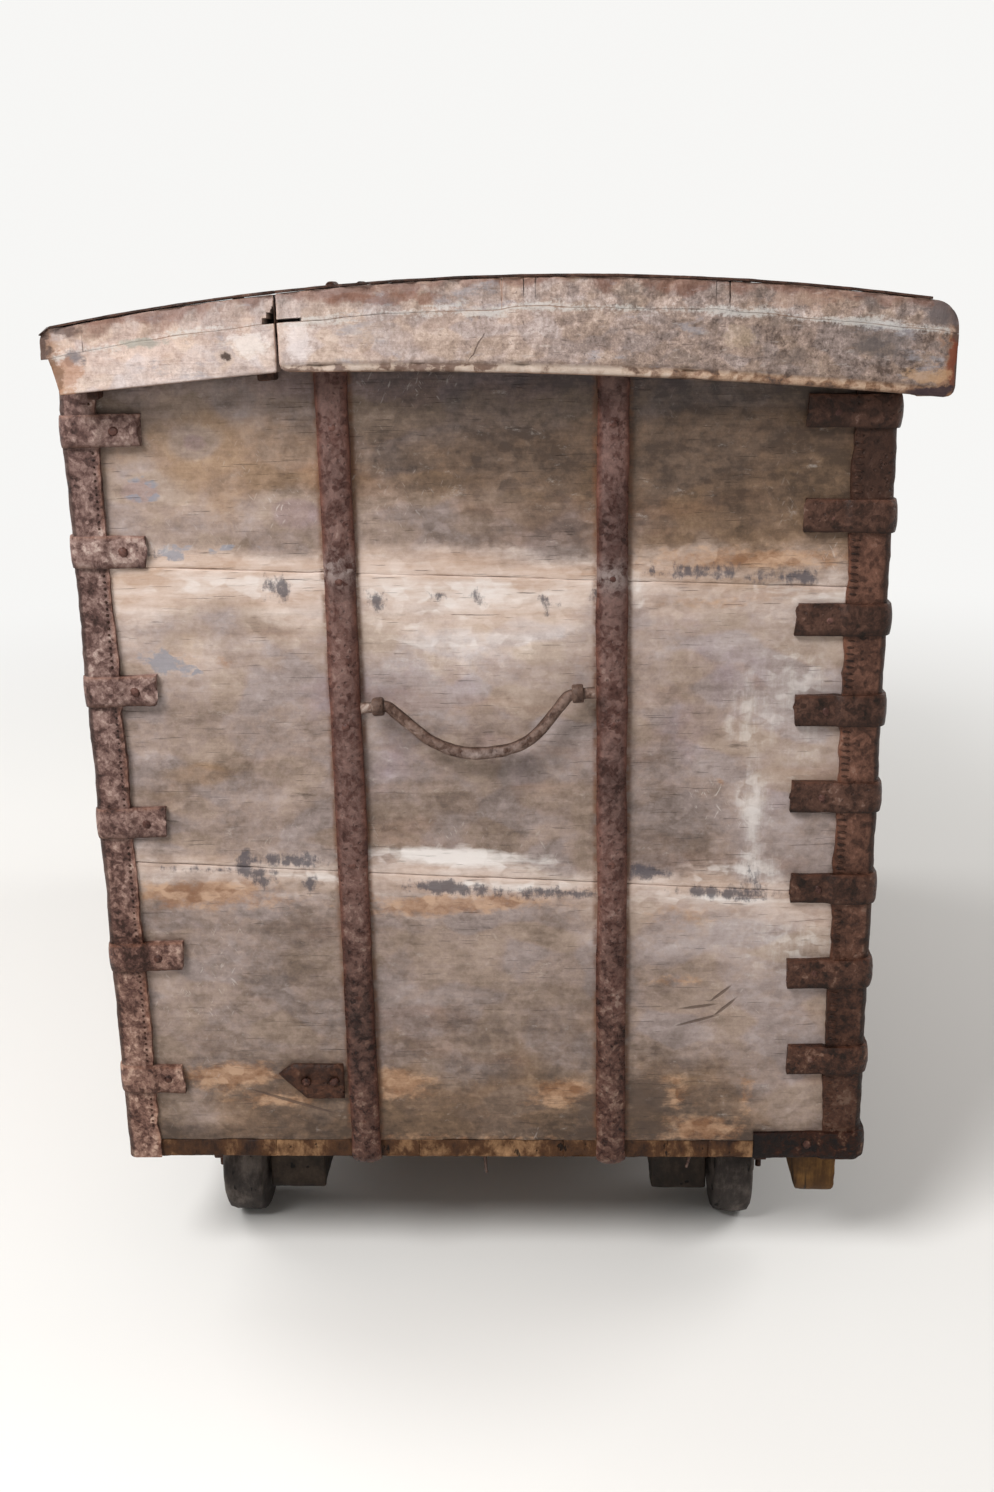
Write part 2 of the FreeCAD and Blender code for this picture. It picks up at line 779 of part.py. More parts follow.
def make_shoes():
    """An iron shoe round the foot of each front corner; returns their nail places."""
    outline = corner_outline("front", size.shoe_leg)
    low = floor_bottom + size.shoe_lift
    shoe = plate("shoe_pattern", "XY_Plane", outline, low, size.shoe_height)
    holes = corner_nails("front", (low + size.shoe_height / 2).value)
    left = punched("left_shoe", shoe, holes)
    keep("front_shoes", group("shoes", left, mirror("shoe_mirrored", left)))
    return holes + flipped(holes)


def make_mending_plate():
    """A pointed repair plate nailed to the lower plank of the left end; returns its nail places."""
    strap = end_strap_middle + size.end_strap_pitch / 2 + size.strap_width / 2
    near = strap + size.mend_strap_gap
    far = near + size.mend_length
    low = floor_top + size.mend_lift
    high = low + size.mend_height
    outline = [
        (near, low),
        (near, high),
        (far - size.mend_upper_shoulder, high),
        (far, low + size.mend_point_height),
        (far - size.mend_lower_shoulder, low),
    ]
    surface = -half_length - size.plate_thickness
    iron = plate("mending_blank", "YZ_Plane", outline, surface, size.plate_thickness)
    height = low + size.mend_height / 2
    places = []
    for depth in (near + size.nail_head, far - size.mend_lower_shoulder):
        places.append((Vector(surface.value, depth.value, height.value), Vector(-1, 0, 0)))
    keep("mending_plate", punched("mending_punched", iron, places))
    return places


def make_handles():
    """A bail handle of round bar hung in two eyes between the straps of each end."""
    root_two = math.sqrt(2)
    bar = size.handle_rod / 2
    turn = size.handle_bend
    tangent = turn * math.tan(math.radians(BAIL_ANGLE_DEGREES / 2))
    tail_end = size.end_strap_pitch / 2 - size.strap_width / 2 - size.handle_strap_gap
    eye_middle = tail_end - size.handle_tail - size.eye_width / 2
    bend_start = eye_middle - size.eye_width / 2 - size.eye_clearance
    corner = bend_start - tangent
    sweep = (corner - size.handle_drop) / (root_two - 1)
    bend_run = turn * (1 - 1 / root_two)
    leg_length = (corner - bend_run - sweep / root_two) * root_two
    zero = Measure(0)
    sweep_centre = (zero, zero, sweep - size.handle_drop)
    lengths = [bend("bail_sweep", (0, -1, -1), (0, 1, -1), sweep_centre, sweep, bar, 2 * BAIL_ANGLE_DEGREES)]
    eyes = []
    for number, sign in enumerate((-1, 1)):
        tail_start = (zero, bend_start * sign, zero)
        lengths.append(rod(f"bail_tail_{number}", (0, sign, 0), tail_start, tail_end - bend_start, bar))
        bend_centre = (zero, bend_start * sign, -turn)
        axes = ((0, 0, 1), (0, -sign, 0))
        lengths.append(bend(f"bail_bend_{number}", *axes, bend_centre, turn, bar, BAIL_ANGLE_DEGREES))
        leg_start = (zero, (corner - bend_run) * sign, -bend_run)
        lengths.append(rod(f"bail_leg_{number}", (0, -sign, -1), leg_start, leg_length, bar))
        eyes.append(handle_eye(number, eye_middle * sign))
    bail = fuse("bail", *lengths)
    centre = (-half_length - size.handle_standoff, end_strap_middle, size.handle_height)
    left = keep("left_handle", group("left_bail", hung("bail_hung", bail, centre)))
    keep("right_handle", mirror("right_bail", left))
    left_eyes = group("left_eyes", hung("eyes_hung", group("eye_pair", *eyes), centre))
    keep("handle_eyes", group("eyes", left_eyes, mirror("right_eyes", left_eyes)))


def handle_eye(number, across):
    """An eye whose shank is driven into the middle plank."""
    zero = Measure(0)
    low = across - size.eye_width / 2
    ring = rod(f"eye_ring_{number}", (0, 1, 0), (zero, low, zero), size.eye_width, size.eye_diameter / 2)
    shank_length = size.handle_standoff + size.eye_depth
    shank = rod(f"eye_shank_{number}", (1, 0, 0), (zero, across, zero), shank_length, size.eye_shank / 2)
    bore_radius = size.handle_rod / 2 + size.running_clearance
    bore = rod(f"eye_bore_{number}", (0, 1, 0), (zero, low, zero), size.eye_width, bore_radius)
    return cut(f"eye_{number}", fuse(f"eye_blank_{number}", ring, shank), bore)


def hung(label, source, centre):
    """A copy at the left end, tipped a little down to the rear as the eyes are."""
    twin = repeat(label, source, *centre)
    twin.Placement = Placement(Vector(), Rotation(Vector(-1, 0, 0), size.handle_tilt.value))
    bind(twin, Placement__Rotation__Angle=size.handle_tilt)
    place(twin, *centre)
    return twin


def make_edge_straps():
    """Thin straps over both end edges of the arched top; returns the rear and the lid nail places."""
    across = (-lid_end, -lid_end + size.edge_strap_width)
    lid_start = lid_front + size.lid_front_round + size.edge_strap_setback
    runs = {
        "rear": (rear_top_front, rear_top_end, REAR_EDGE_NAIL_COUNT),
        "lid": (lid_start, lid_rear, LID_EDGE_NAIL_COUNT),
    }
    row = -lid_end.value + size.fascia_thickness.value / 2
    places = {}
    for name, (low, high, count) in runs.items():
        depths = spread(low + size.top_nail_margin, high - size.top_nail_margin, count)
        holes = [arch_point(row, depth, iron_rise) for depth in depths]
        plain = arched(f"{name}_edge", iron_arch, across, (low, high))
        strap = punched(f"{name}_edge_punched", plain, holes)
        keep(f"{name}_edge_straps", group(f"{name}_edges", strap, mirror(f"{name}_edge_mirrored", strap)))
        places[name] = holes + flipped(holes)
    return places["rear"], places["lid"]


def make_hinges():
    """Three strap hinges across the joint, with pins; returns the rear and the lid nail places."""
    half = size.hinge_strap_width / 2
    third = size.hinge_strap_width / 6
    barrel = size.hinge_barrel / 2
    bore = size.hinge_pin / 2 + size.running_clearance
    length = half * 2
    zero = Measure(0)
    whole = ((-half, length),)
    inner = ((-third, third * 2),)
    side = half - third - size.knuckle_gap
    outer = ((-half, side), (half - side, side))
    gaps = {
        "lid": ((-half - CUT_MARGIN, CUT_MARGIN + half - third), (third, CUT_MARGIN + half - third)),
        "rear": ((-third - size.knuckle_gap, (third + size.knuckle_gap) * 2),),
    }
    knuckles = {"lid": inner, "rear": outer}
    runs = {
        "lid": (lid_front + size.lid_leaf_setback, joint),
        "rear": (joint, rear_top_end - size.rear_leaf_setback),
    }
    counts = {"lid": LID_LEAF_NAIL_COUNT, "rear": REAR_LEAF_NAIL_COUNT}
    offsets = (-size.hinge_spacing, zero, size.hinge_spacing)
    places = {}

    def barrels(label, spans, radius):
        bars = []
        for number, (start, run) in enumerate(spans):
            bars.append(rod(f"{label}_{number}", (1, 0, 0), (start, joint, hinge_height), run, radius))
        return bars

    for name, (low, high) in runs.items():
        strap = arched(f"{name}_leaf_strap", iron_arch, (-half, half), (low, high))
        relief = barrels(f"{name}_relief", gaps[name], barrel + size.knuckle_gap)
        relieved = cut(f"{name}_leaf_relieved", strap, group(f"{name}_reliefs", *relief))
        joined = fuse(f"{name}_leaf_joined", relieved, *barrels(f"{name}_knuckle", knuckles[name], barrel))
        bored = cut(f"{name}_leaf_bored", joined, *barrels(f"{name}_leaf_bore", whole, bore))
        depths = spread(low + size.leaf_nail_margin, high - size.leaf_nail_margin, counts[name])
        holes = [arch_point(0, depth, iron_rise) for depth in depths]
        leaf = punched(f"{name}_leaf", bored, holes)
        copies = [repeat(f"{name}_leaf_{number}", leaf, x=offset) for number, offset in enumerate(offsets)]
        keep(f"{name}_hinge_leaves", group(f"{name}_leaves", *copies))
        places[name] = []
        for offset in offsets:
            places[name] += [(point + Vector(offset.value, 0, 0), out) for point, out in holes]
    pin = rod("hinge_pin_pattern", (1, 0, 0), (-half, joint, hinge_height), length, size.hinge_pin / 2)
    pins = [repeat(f"hinge_pin_{number}", pin, x=offset) for number, offset in enumerate(offsets)]
    keep("hinge_pins", group("hinge_pin_set", *pins))
    return places["rear"], places["lid"]


def make_hasp():
    """The hasp hung on the lid's front, its plate and pin; returns the plate's nail places."""
    half = size.hasp_plate_width / 2
    third = size.hasp_width / 4
    barrel = size.hasp_barrel / 2
    side = half - third - size.knuckle_gap
    relief = barrel + size.knuckle_gap
    bore_radius = size.hasp_pin / 2 + size.running_clearance

    def barrels(label, spans, radius):
        bars = []
        for number, (start, run) in enumerate(spans):
            bars.append(rod(f"{label}_{number}", (1, 0, 0), (start, hasp_axis_y, hasp_axis_z), run, radius))
        return bars

    plate_y = (lid_front - size.plate_thickness, lid_front)
    plate_top = hasp_axis_z + size.hasp_plate_height
    blank = box("hasp_plate_blank", (-half, half), plate_y, (hasp_axis_z, plate_top))
    whole = ((-half, half * 2),)
    outer = ((-half, side), (half - side, side))
    inner_gap = ((-third - size.knuckle_gap, (third + size.knuckle_gap) * 2),)
    relieved = cut("hasp_plate_relieved", blank, *barrels("plate_gap", inner_gap, relief))
    joined = fuse("hasp_plate_joined", relieved, *barrels("plate_knuckle", outer, barrel))
    bored = cut("hasp_plate_bored", joined, *barrels("plate_bore", whole, bore_radius))
    inset = size.nail_head
    places = []
    for across in (-half + inset, half - inset):
        for height in (hasp_axis_z + size.hasp_barrel, plate_top - inset):
            places.append((Vector(across.value, plate_y[0].value, height.value), Vector(0, -1, 0)))
    keep("hasp_plate", punched("hasp_plate_punched", bored, places))
    keep("hasp_pin", *barrels("hasp_pin_bar", whole, size.hasp_pin / 2))
    make_hasp_strap(third, relief, bore_radius, barrels)
    return places


def make_hasp_strap(third, relief, bore_radius, barrels):
    """The swinging strap, with a slot that passes over the staple and a rounded lower end."""
    half = size.hasp_width / 2
    thick = size.hasp_thickness / 2
    strap_y = (hasp_axis_y - thick, hasp_axis_y + thick)
    round_z = staple_height - size.hasp_below_staple
    strap = box("hasp_strap", (-half, half), strap_y, (round_z, hasp_axis_z))
    tip = rod("hasp_tip", (0, 1, 0), (Measure(0), strap_y[0], round_z), size.hasp_thickness, half)
    side = half - third + CUT_MARGIN
    gaps = ((-half - CUT_MARGIN, side), (third, side))
    reliefs = group("hasp_reliefs", *barrels("hasp_gap", gaps, relief))
    relieved = cut("hasp_relieved", fuse("hasp_blank", strap, tip), reliefs)
    inner = ((-third, third * 2),)
    knuckle = barrels("hasp_knuckle", inner, size.hasp_barrel / 2)
    slot_x = (-size.hasp_slot_width / 2, size.hasp_slot_width / 2)
    slot_y = (strap_y[0] - CUT_MARGIN, strap_y[1] + CUT_MARGIN)
    slot_low = staple_height - size.hasp_slot_height / 2
    slot = box("hasp_slot", slot_x, slot_y, (slot_low, slot_low + size.hasp_slot_height))
    openings = group("hasp_openings", slot, *barrels("hasp_bore", inner, bore_radius))
    keep("hasp", cut("hasp_slotted", fuse("hasp_joined", relieved, *knuckle), openings))


def make_lock():
    """The lock plate on the front and the staple that takes a padlock; returns the plate's nail places."""
    half = size.lock_plate_width / 2
    plate_y = (front_face - size.plate_thickness, front_face)
    low = staple_height - size.lock_plate_height / 2
    high = low + size.lock_plate_height
    blank = box("lock_plate_blank", (-half, half), plate_y, (low, high))
    zero = Measure(0)
    hole_radius = size.staple_shank / 2 + size.nail_hole_clearance
    shank_start = (zero, plate_y[0], staple_height)
    hole = rod("lock_plate_hole", (0, 1, 0), shank_start, size.plate_thickness, hole_radius)
    inset = size.nail_head
    places = []
    for across in (-half + inset, half - inset):
        for height in (low + inset, high - inset):
            places.append((Vector(across.value, plate_y[0].value, height.value), Vector(0, -1, 0)))
    keep("lock_plate", punched("lock_plate_punched", cut("lock_plate_holed", blank, hole), places))
    nose = plate_y[0] - size.staple_reach + size.staple_diameter / 2
    thick = size.staple_thickness / 2
    radius = size.staple_diameter / 2
    tab_z = (staple_height - radius, staple_height + radius)
    tab = box("staple_tab", (-thick, thick), (nose, plate_y[0]), tab_z)
    nose_start = (-thick, nose, staple_height)
    round_nose = rod("staple_nose", (1, 0, 0), nose_start, size.staple_thickness, radius)
    shank_length = size.plate_thickness + size.eye_depth
    shank = rod("staple_shank_bar", (0, 1, 0), shank_start, shank_length, size.staple_shank / 2)
    eye = rod("staple_eye", (1, 0, 0), nose_start, size.staple_thickness, size.staple_hole / 2)
    keep("lock_staple", cut("staple_holed", fuse("staple_blank", tab, round_nose, shank), eye))
    return places


def make_wheels():
    """Four wooden wheels on stub axles, with the blocks and linch pins that hold them."""
    blocks = []
    axles = []
    linches = []
    for side, outward in SIDES.items():
        for end, along in ENDS.items():
            name = f"{side}_{end}"
            x = (half_length - size.wheel_end_inset) * along
            y = middle + (half_depth - getattr(size, f"{side}_wheel_inset")) * outward
            keep(f"{name}_wheel", wheel(name, x, y))
            blocks.append(axle_block(name, x, y, outward))
            axles.append(axle(name, x, y, outward))
            linches.append(linch_pin(name, x, y, outward, size.linch_pin / 2))
    keep("axle_blocks", group("block_set", *blocks))
    keep("axle_pins", group("axle_set", *axles))
    keep("linch_pins", group("linch_set", *linches))


def wheel(name, x, y):
    """A solid wooden disc with a thicker hub, bored for its axle."""
    axis = size.wheel_diameter / 2
    start = y - size.wheel_width / 2
    hub_start = y - size.hub_width / 2
    disc = rod(f"{name}_disc", (0, 1, 0), (x, start, axis), size.wheel_width, axis)
    rim = soften("Part::Chamfer", f"{name}_rim", disc, size.wheel_edge, lambda edge: edge.Closed)
    hub = rod(f"{name}_hub", (0, 1, 0), (x, hub_start, axis), size.hub_width, size.hub_diameter / 2)
    bore_radius = size.axle_diameter / 2 + size.running_clearance
    bore = rod(f"{name}_bore", (0, 1, 0), (x, hub_start, axis), size.hub_width, bore_radius)
    return cut(f"{name}_turned", fuse(f"{name}_solid", rim, hub), bore)


def block_faces(y, outward):
    """The faces of an axle block, next to the wheel and away from it."""
    near = y - (size.hub_width / 2 + size.axle_block_gap) * outward
    far = near - size.axle_block_width * outward
    return near, far


def axle_block(name, x, y, outward):
    """A block under the floor that carries one stub axle."""
    near, far = block_faces(y, outward)
    span = (far, near) if outward > 0 else (near, far)
    axis = size.wheel_diameter / 2
    half = size.axle_block_length / 2
    height = (axis - size.axle_block_below, floor_bottom)
    block = box(f"{name}_block", (x - half, x + half), span, height)
    radius = size.axle_diameter / 2 + size.driven_fit
    bore = rod(f"{name}_block_bore", (0, outward, 0), (x, far, axis), size.axle_block_width, radius)
    return cut(f"{name}_block_bored", block, bore)


def axle(name, x, y, outward):
    """A stub axle through the block and the wheel, drilled for its linch pin."""
    far = block_faces(y, outward)[1]
    axis = size.wheel_diameter / 2
    length = size.axle_block_width + size.axle_block_gap + size.hub_width + size.axle_end
    bar = rod(f"{name}_axle", (0, outward, 0), (x, far, axis), length, size.axle_diameter / 2)
    hole = linch_pin(f"{name}_hole", x, y, outward, size.linch_pin / 2 + size.driven_fit)
    return cut(f"{name}_axle_drilled", bar, hole)


def linch_pin(name, x, y, outward, radius):
    """The upright pin outside the hub that keeps the wheel on."""
    depth = y + (size.hub_width / 2 + size.linch_pin_margin) * outward
    low = size.wheel_diameter / 2 - size.linch_pin_length / 2
    return rod(f"{name}_linch", (0, 0, 1), (x, depth, low), size.linch_pin_length, radius)


def make_brackets():
    """A rounded block of newer wood under each front corner."""
    x = (-half_length + size.bracket_inset, -half_length + size.bracket_inset + size.bracket_length)
    y = (front_face + size.bracket_front, front_face + size.bracket_front + size.bracket_width)
    low = floor_bottom - size.bracket_drop
    block = box("bracket_blank", x, y, (low, floor_bottom))

    def lower_arris(edge):
        return runs_along_chest(edge) and at_height(edge, low)

    rounded = soften("Part::Fillet", "bracket_rounded", block, size.bracket_round, lower_arris)
    keep("front_brackets", group("brackets", rounded, mirror("bracket_mirrored", rounded)))


def batten_nail_places():
    """Nails through the lid boards into the battens."""
    low = front_face + size.wall_thickness + size.batten_clearance + size.top_nail_margin
    high = joint - size.rail_width / 2 - size.batten_clearance - size.top_nail_margin
    half = size.batten_spacing.value / 2
    return [arch_point(x, y, Measure(0)) for x in (-half, half) for y in spread(low, high, BATTEN_NAIL_COUNT)]


def check_and_write():
    """Refuses to write anything unless every object and piece is sound."""
    doc.recompute()
    for thing in doc.Objects:
        if "Invalid" in thing.State or "Error" in thing.State:
            raise RuntimeError(f"{thing.Label} failed: {thing.State}")
    for label, thing in pieces.items():
        if thing.Shape.isNull() or not thing.Shape.isValid() or not thing.Shape.Solids:
            raise RuntimeError(f"{label} is not a sound solid")
    os.makedirs("parts", exist_ok=True)
    for label, thing in pieces.items():
        thing.Shape.exportStep(f"parts/{label}.step")
    reach = Part.makeCompound([thing.Shape for thing in pieces.values()]).BoundBox
    solids = sum(len(thing.Shape.Solids) for thing in pieces.values())
    print(len(pieces), "pieces,", solids, "solids, from", (reach.XMin, reach.YMin, reach.ZMin),
          "to", (reach.XMax, reach.YMax, reach.ZMax))


make_end_planks()
make_long_planks()
make_floor()
make_rear_top()
make_lid()
make_corner_irons()
make_handles()
make_wheels()
make_brackets()
rear_edge_nails, lid_edge_nails = make_edge_straps()
rear_leaf_nails, lid_leaf_nails = make_hinges()
short_body_nails = make_end_straps() + make_long_straps() + make_clasps() + make_shoes()
short_body_nails += make_mending_plate() + make_lock() + rear_leaf_nails
short_lid_nails = make_hasp() + lid_leaf_nails
long_lid_nails = lid_edge_nails + batten_nail_places()
body_short = nails("body_short_nails", short_body_nails, size.nail_length)
body_long = nails("body_long_nails", rear_edge_nails, size.long_nail_length)
keep("body_nails", group("body_nail_set", body_short, body_long))
lid_short = nails("lid_short_nails", short_lid_nails, size.nail_length)
lid_long = nails("lid_long_nails", long_lid_nails, size.long_nail_length)
keep("lid_nails", group("lid_nail_set", lid_short, lid_long))
check_and_write()
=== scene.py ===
# %% [markdown]
# An old wedding chest: thick planks bound with rusty iron, an arched top whose front part is
# the lid, bail handles on the ends and four small wheels. The CAD model gives every solid, and
# is loaded here as a fixed frame. The script could only colour those solids, but old wood and
# hand-forged iron have no straight edge. So each board and iron is made again as a worn mesh
# in the same place, with a node material.

# %% Load the frame
import itertools
import json
import math

import bmesh
import bpy
import numpy as np
from mathutils import Matrix, Vector


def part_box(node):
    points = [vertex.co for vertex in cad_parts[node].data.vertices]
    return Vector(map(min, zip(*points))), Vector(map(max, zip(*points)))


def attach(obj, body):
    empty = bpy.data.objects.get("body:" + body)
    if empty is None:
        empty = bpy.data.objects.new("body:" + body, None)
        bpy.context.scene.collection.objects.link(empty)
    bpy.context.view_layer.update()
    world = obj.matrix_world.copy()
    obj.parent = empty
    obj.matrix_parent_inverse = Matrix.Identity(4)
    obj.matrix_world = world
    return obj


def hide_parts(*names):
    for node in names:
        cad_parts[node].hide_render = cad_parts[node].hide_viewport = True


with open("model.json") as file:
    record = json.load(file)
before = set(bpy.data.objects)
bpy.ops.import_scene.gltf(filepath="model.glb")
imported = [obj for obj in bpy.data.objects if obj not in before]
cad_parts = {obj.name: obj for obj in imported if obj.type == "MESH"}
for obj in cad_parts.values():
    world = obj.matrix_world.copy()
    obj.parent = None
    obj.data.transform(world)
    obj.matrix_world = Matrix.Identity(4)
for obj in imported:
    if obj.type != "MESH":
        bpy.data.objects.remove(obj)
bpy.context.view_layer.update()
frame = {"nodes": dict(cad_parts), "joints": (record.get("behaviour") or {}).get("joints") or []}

# %% [markdown]
# The planes and arcs that the pieces share. They could be typed in again, but the meshes would
# then drift away from the solids when the CAD changes. So most are read from the frame, in
# metres. Only two arcs are typed: the arch of the boards, and the flatter one along the lower
# edge of the lid's end boards.

# %% Planes of the chest
ARCH_RADIUS = 2.25
FASCIA_RADIUS = 5.17
BOARD = 0.023
CROWN_FORWARD = 0.045
FASCIA_DROP = 0.0705


def corners(node):
    """Lowest and highest corner of a CAD node, as arrays."""
    low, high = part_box(node)
    return np.array(low), np.array(high)


floor_low, floor_high = corners("floor_boards")
HALF_LENGTH = floor_high[0]
FRONT, REAR = floor_low[1], floor_high[1]
FLOOR_BOTTOM, FLOOR_TOP = floor_low[2], floor_high[2]
MIDDLE = (FRONT + REAR) / 2
CROWN = MIDDLE - CROWN_FORWARD
ARCH_TOP = corners("lid_middle_board")[1][2]
LID_END = corners("lid_front_board")[1][0]
LID_FRONT = corners("lid_left_fascia")[0][1]
LID_REAR = corners("lid_left_fascia")[1][1]
REAR_TOP_FRONT = corners("rear_top_board")[0][1]
REAR_TOP_END = corners("rear_top_board")[1][1]
JOINT = (LID_REAR + REAR_TOP_FRONT) / 2
LOW_SEAM = (corners("left_end_middle_plank")[0][2], corners("left_end_lower_plank")[1][2])
HIGH_SEAM = (corners("left_end_upper_plank")[0][2], corners("left_end_middle_plank")[1][2])


def arch(y, drop=0.0):
    """Height of the arched top, or of a layer some way under it."""
    return ARCH_TOP - ARCH_RADIUS + np.sqrt((ARCH_RADIUS - drop) ** 2 - (y - CROWN) ** 2)


def fascia_edge(y):
    """Height of the lower edge of the lid's end boards."""
    return ARCH_TOP - FASCIA_DROP - FASCIA_RADIUS + np.sqrt(FASCIA_RADIUS ** 2 - (y - JOINT) ** 2)


def seam(pair, y):
    """Height of a seam between end planks, which falls towards the front."""
    return np.interp(y, (FRONT, REAR), pair)


print("body", round(HALF_LENGTH * 2, 3), "by", round(REAR - FRONT, 3), "seams", LOW_SEAM, HIGH_SEAM)

# %% [markdown]
# Hand tools for meshes. An old board is a box whose edges are worn round and whose faces wave
# a little. It could be a cube with Bevel and Displace modifiers, but those know nothing of
# where a board was handled. So one function grids a closed box, one rounds its edges by a
# radius that may change along them, and one gives smooth random values in space to dent it.
# Irons are made as a smith draws them out: a section pushed along a path.

# %% Mesh tools
def cloud(points, size, seed, octaves=3):
    """Smooth random values, about -1 to 1, with features of the given size in metres."""
    total = np.zeros(len(points))
    for octave in range(octaves):
        spot = points / np.asarray(size) * 2 ** octave + seed * 7.31
        cell = np.floor(spot).astype(np.int64)
        part = spot - cell
        part = part * part * (3 - 2 * part)
        for corner in itertools.product((0, 1), repeat=3):
            key = ((cell + corner) * (73856093, 19349663, 83492791)).sum(1) + seed * 2654435761
            key = (key ^ (key >> 13)) * 1274126177
            value = ((key ^ (key >> 16)) & 65535) / 32767.5 - 1
            total += value * np.where(corner, part, 1 - part).prod(1) / 2 ** octave
    return total


def hill(offset, reach):
    """1 at no offset, fading to nothing within about twice the reach."""
    return np.exp(-(offset / reach) ** 2)


def stations(length, step, edge=0.0):
    """Grid lines along one side: close together at both edges, a step apart between them."""
    close = edge * np.array([0.0, 0.25, 0.6])
    count = max(2, round((length - 2 * edge) / step) + 1)
    inner = np.linspace(edge, length - edge, count)
    return np.concatenate([close, inner, length - close[::-1]]) if edge else inner


def grid_box(*sides):
    """Points and quads of a closed box, gridded on all six sides; a side is what stations take."""
    us, vs, ws = [stations(*side) for side in sides]
    shape = (len(us), len(vs), len(ws))
    where = np.stack(np.meshgrid(*map(np.arange, shape), indexing="ij"), -1).reshape(-1, 3)
    skin = ((where == 0) | (where == np.array(shape) - 1)).any(1)
    number = np.full(len(where), -1)
    number[skin] = np.arange(skin.sum())
    number = number.reshape(shape)
    points = np.stack([us[where[skin, 0]], vs[where[skin, 1]], ws[where[skin, 2]]], 1)
    quads = []
    for axis, side in itertools.product(range(3), (0, -1)):
        sheet = np.take(number, side, axis=axis)
        quads.append(np.stack([sheet[:-1, :-1], sheet[1:, :-1], sheet[1:, 1:], sheet[:-1, 1:]], -1))
    return points, np.concatenate([quad.reshape(-1, 4) for quad in quads]).tolist()


def rounded(points, size, radius):
    """Points of a gridded box with its edges worn round, and the way each one faces."""
    radius = np.broadcast_to(radius, len(points))[:, None]
    core = np.clip(points, radius, np.asarray(size) - radius)
    away = points - core
    facing = away / np.linalg.norm(away, axis=1, keepdims=True)
    return core + facing * radius, facing


def pulled_round(pairs, radius):
    """Pairs of distances from two sides, with those in the corner pulled onto a round of this radius."""
    away = np.minimum(pairs - radius, 0)
    reach = np.linalg.norm(away, axis=1, keepdims=True)
    pull = np.where(reach > radius, 1 - radius / np.maximum(reach, 1e-9), 0.0)
    return pairs - away * pull


def loft(rings, closed=False):
    """Skin over a row of rings of points; open rows get a fan of triangles on both ends."""
    rows, count = rings.shape[:2]
    points = rings.reshape(-1, 3)
    faces = []
    for row in range(rows if closed else rows - 1):
        here, there = row * count, (row + 1) % rows * count
        for index in range(count):
            after = (index + 1) % count
            faces.append([here + index, here + after, there + after, there + index])
    if not closed:
        points = np.concatenate([points, rings[0].mean(0)[None], rings[-1].mean(0)[None]])
        for index in range(count):
            after = (index + 1) % count
            faces.append([index, rows * count, after])
            faces.append([(rows - 1) * count + index, (rows - 1) * count + after, rows * count + 1])
    return points, faces


def joined(shapes):
    """Several closed shapes, each (points, faces, marks), as one."""
    start = 0
    points, faces, marks = [], [], {}
    for shape_points, shape_faces, shape_marks in shapes:
        points.append(shape_points)
        faces += [[index + start for index in face] for face in shape_faces]
        for name, values in shape_marks.items():
            marks.setdefault(name, []).append(values)
        start += len(shape_points)
    return np.concatenate(points), faces, {name: np.concatenate(rows) for name, rows in marks.items()}


def chipped(points, seed, coarse, fine, share, least, more):
    """Edge radii that change along a board, as if it were chipped here and there."""
    chips = cloud(points, coarse, seed) + share * cloud(points, fine, seed + 1, 2)
    return least + more * np.clip(chips, 0, 1)


def bared(facing):
    """0 on the faces of a rounded box and about 1 on its edges, from the way each point faces."""
    return (1 - np.abs(facing).max(1)) / 0.3


def turn_angles(count):
    """Angles of a full turn, evenly spaced."""
    return np.linspace(0, 2 * math.pi, count, endpoint=False)


def placed(name, data):
    """A new object in the scene."""
    made = bpy.data.objects.new(name, data)
    bpy.context.scene.collection.objects.link(made)
    return made


def set_piece(name, mesh, finish, body, slot, *nodes):
    """Gives a mesh its finish and lets it ride on its body, in place of its CAD nodes."""
    mesh.materials.clear()
    mesh.materials.append(finish)
    piece = placed(name, mesh)
    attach(piece, body)
    if nodes:
        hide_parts(*nodes)
    print(name, "on", body, "with", len(mesh.polygons), "faces")


def add_piece(name, shape, finish, body, slot, *nodes):
    """Makes one mesh of a shape, with its marks and its faces outward, and sets it in place."""
    points, faces, marks = shape
    mesh = bpy.data.meshes.new(name)
    mesh.from_pydata(points.tolist(), [], faces)
    for mark, values in marks.items():
        layer = mesh.attributes.new(mark, "FLOAT", "POINT")
        layer.data.foreach_set("value", np.asarray(values, np.float32))
    work = bmesh.new()
    work.from_mesh(mesh)
    bmesh.ops.recalc_face_normals(work, faces=work.faces)
    work.to_mesh(mesh)
    work.free()
    mesh.shade_smooth()
    mesh.set_sharp_from_angle(angle=math.radians(58))
    set_piece(name, mesh, finish, body, slot, *nodes)


trial_points, trial_quads = grid_box((0.1, 0.02), (0.05, 0.01), (0.02, 0.02))
print("a trial box has", len(trial_points), "points and", len(trial_quads), "quads")

# %% [markdown]
# Materials are node trees. They could be wired node by node, but a recipe of a hundred nodes
# is then hard to read. The helper adds a node and hands back its socket, so that a recipe
# reads from top to bottom: noises, masks, colours, then the shader. All patterns read Object
# coordinates, in metres, or marks that the mesh carries.

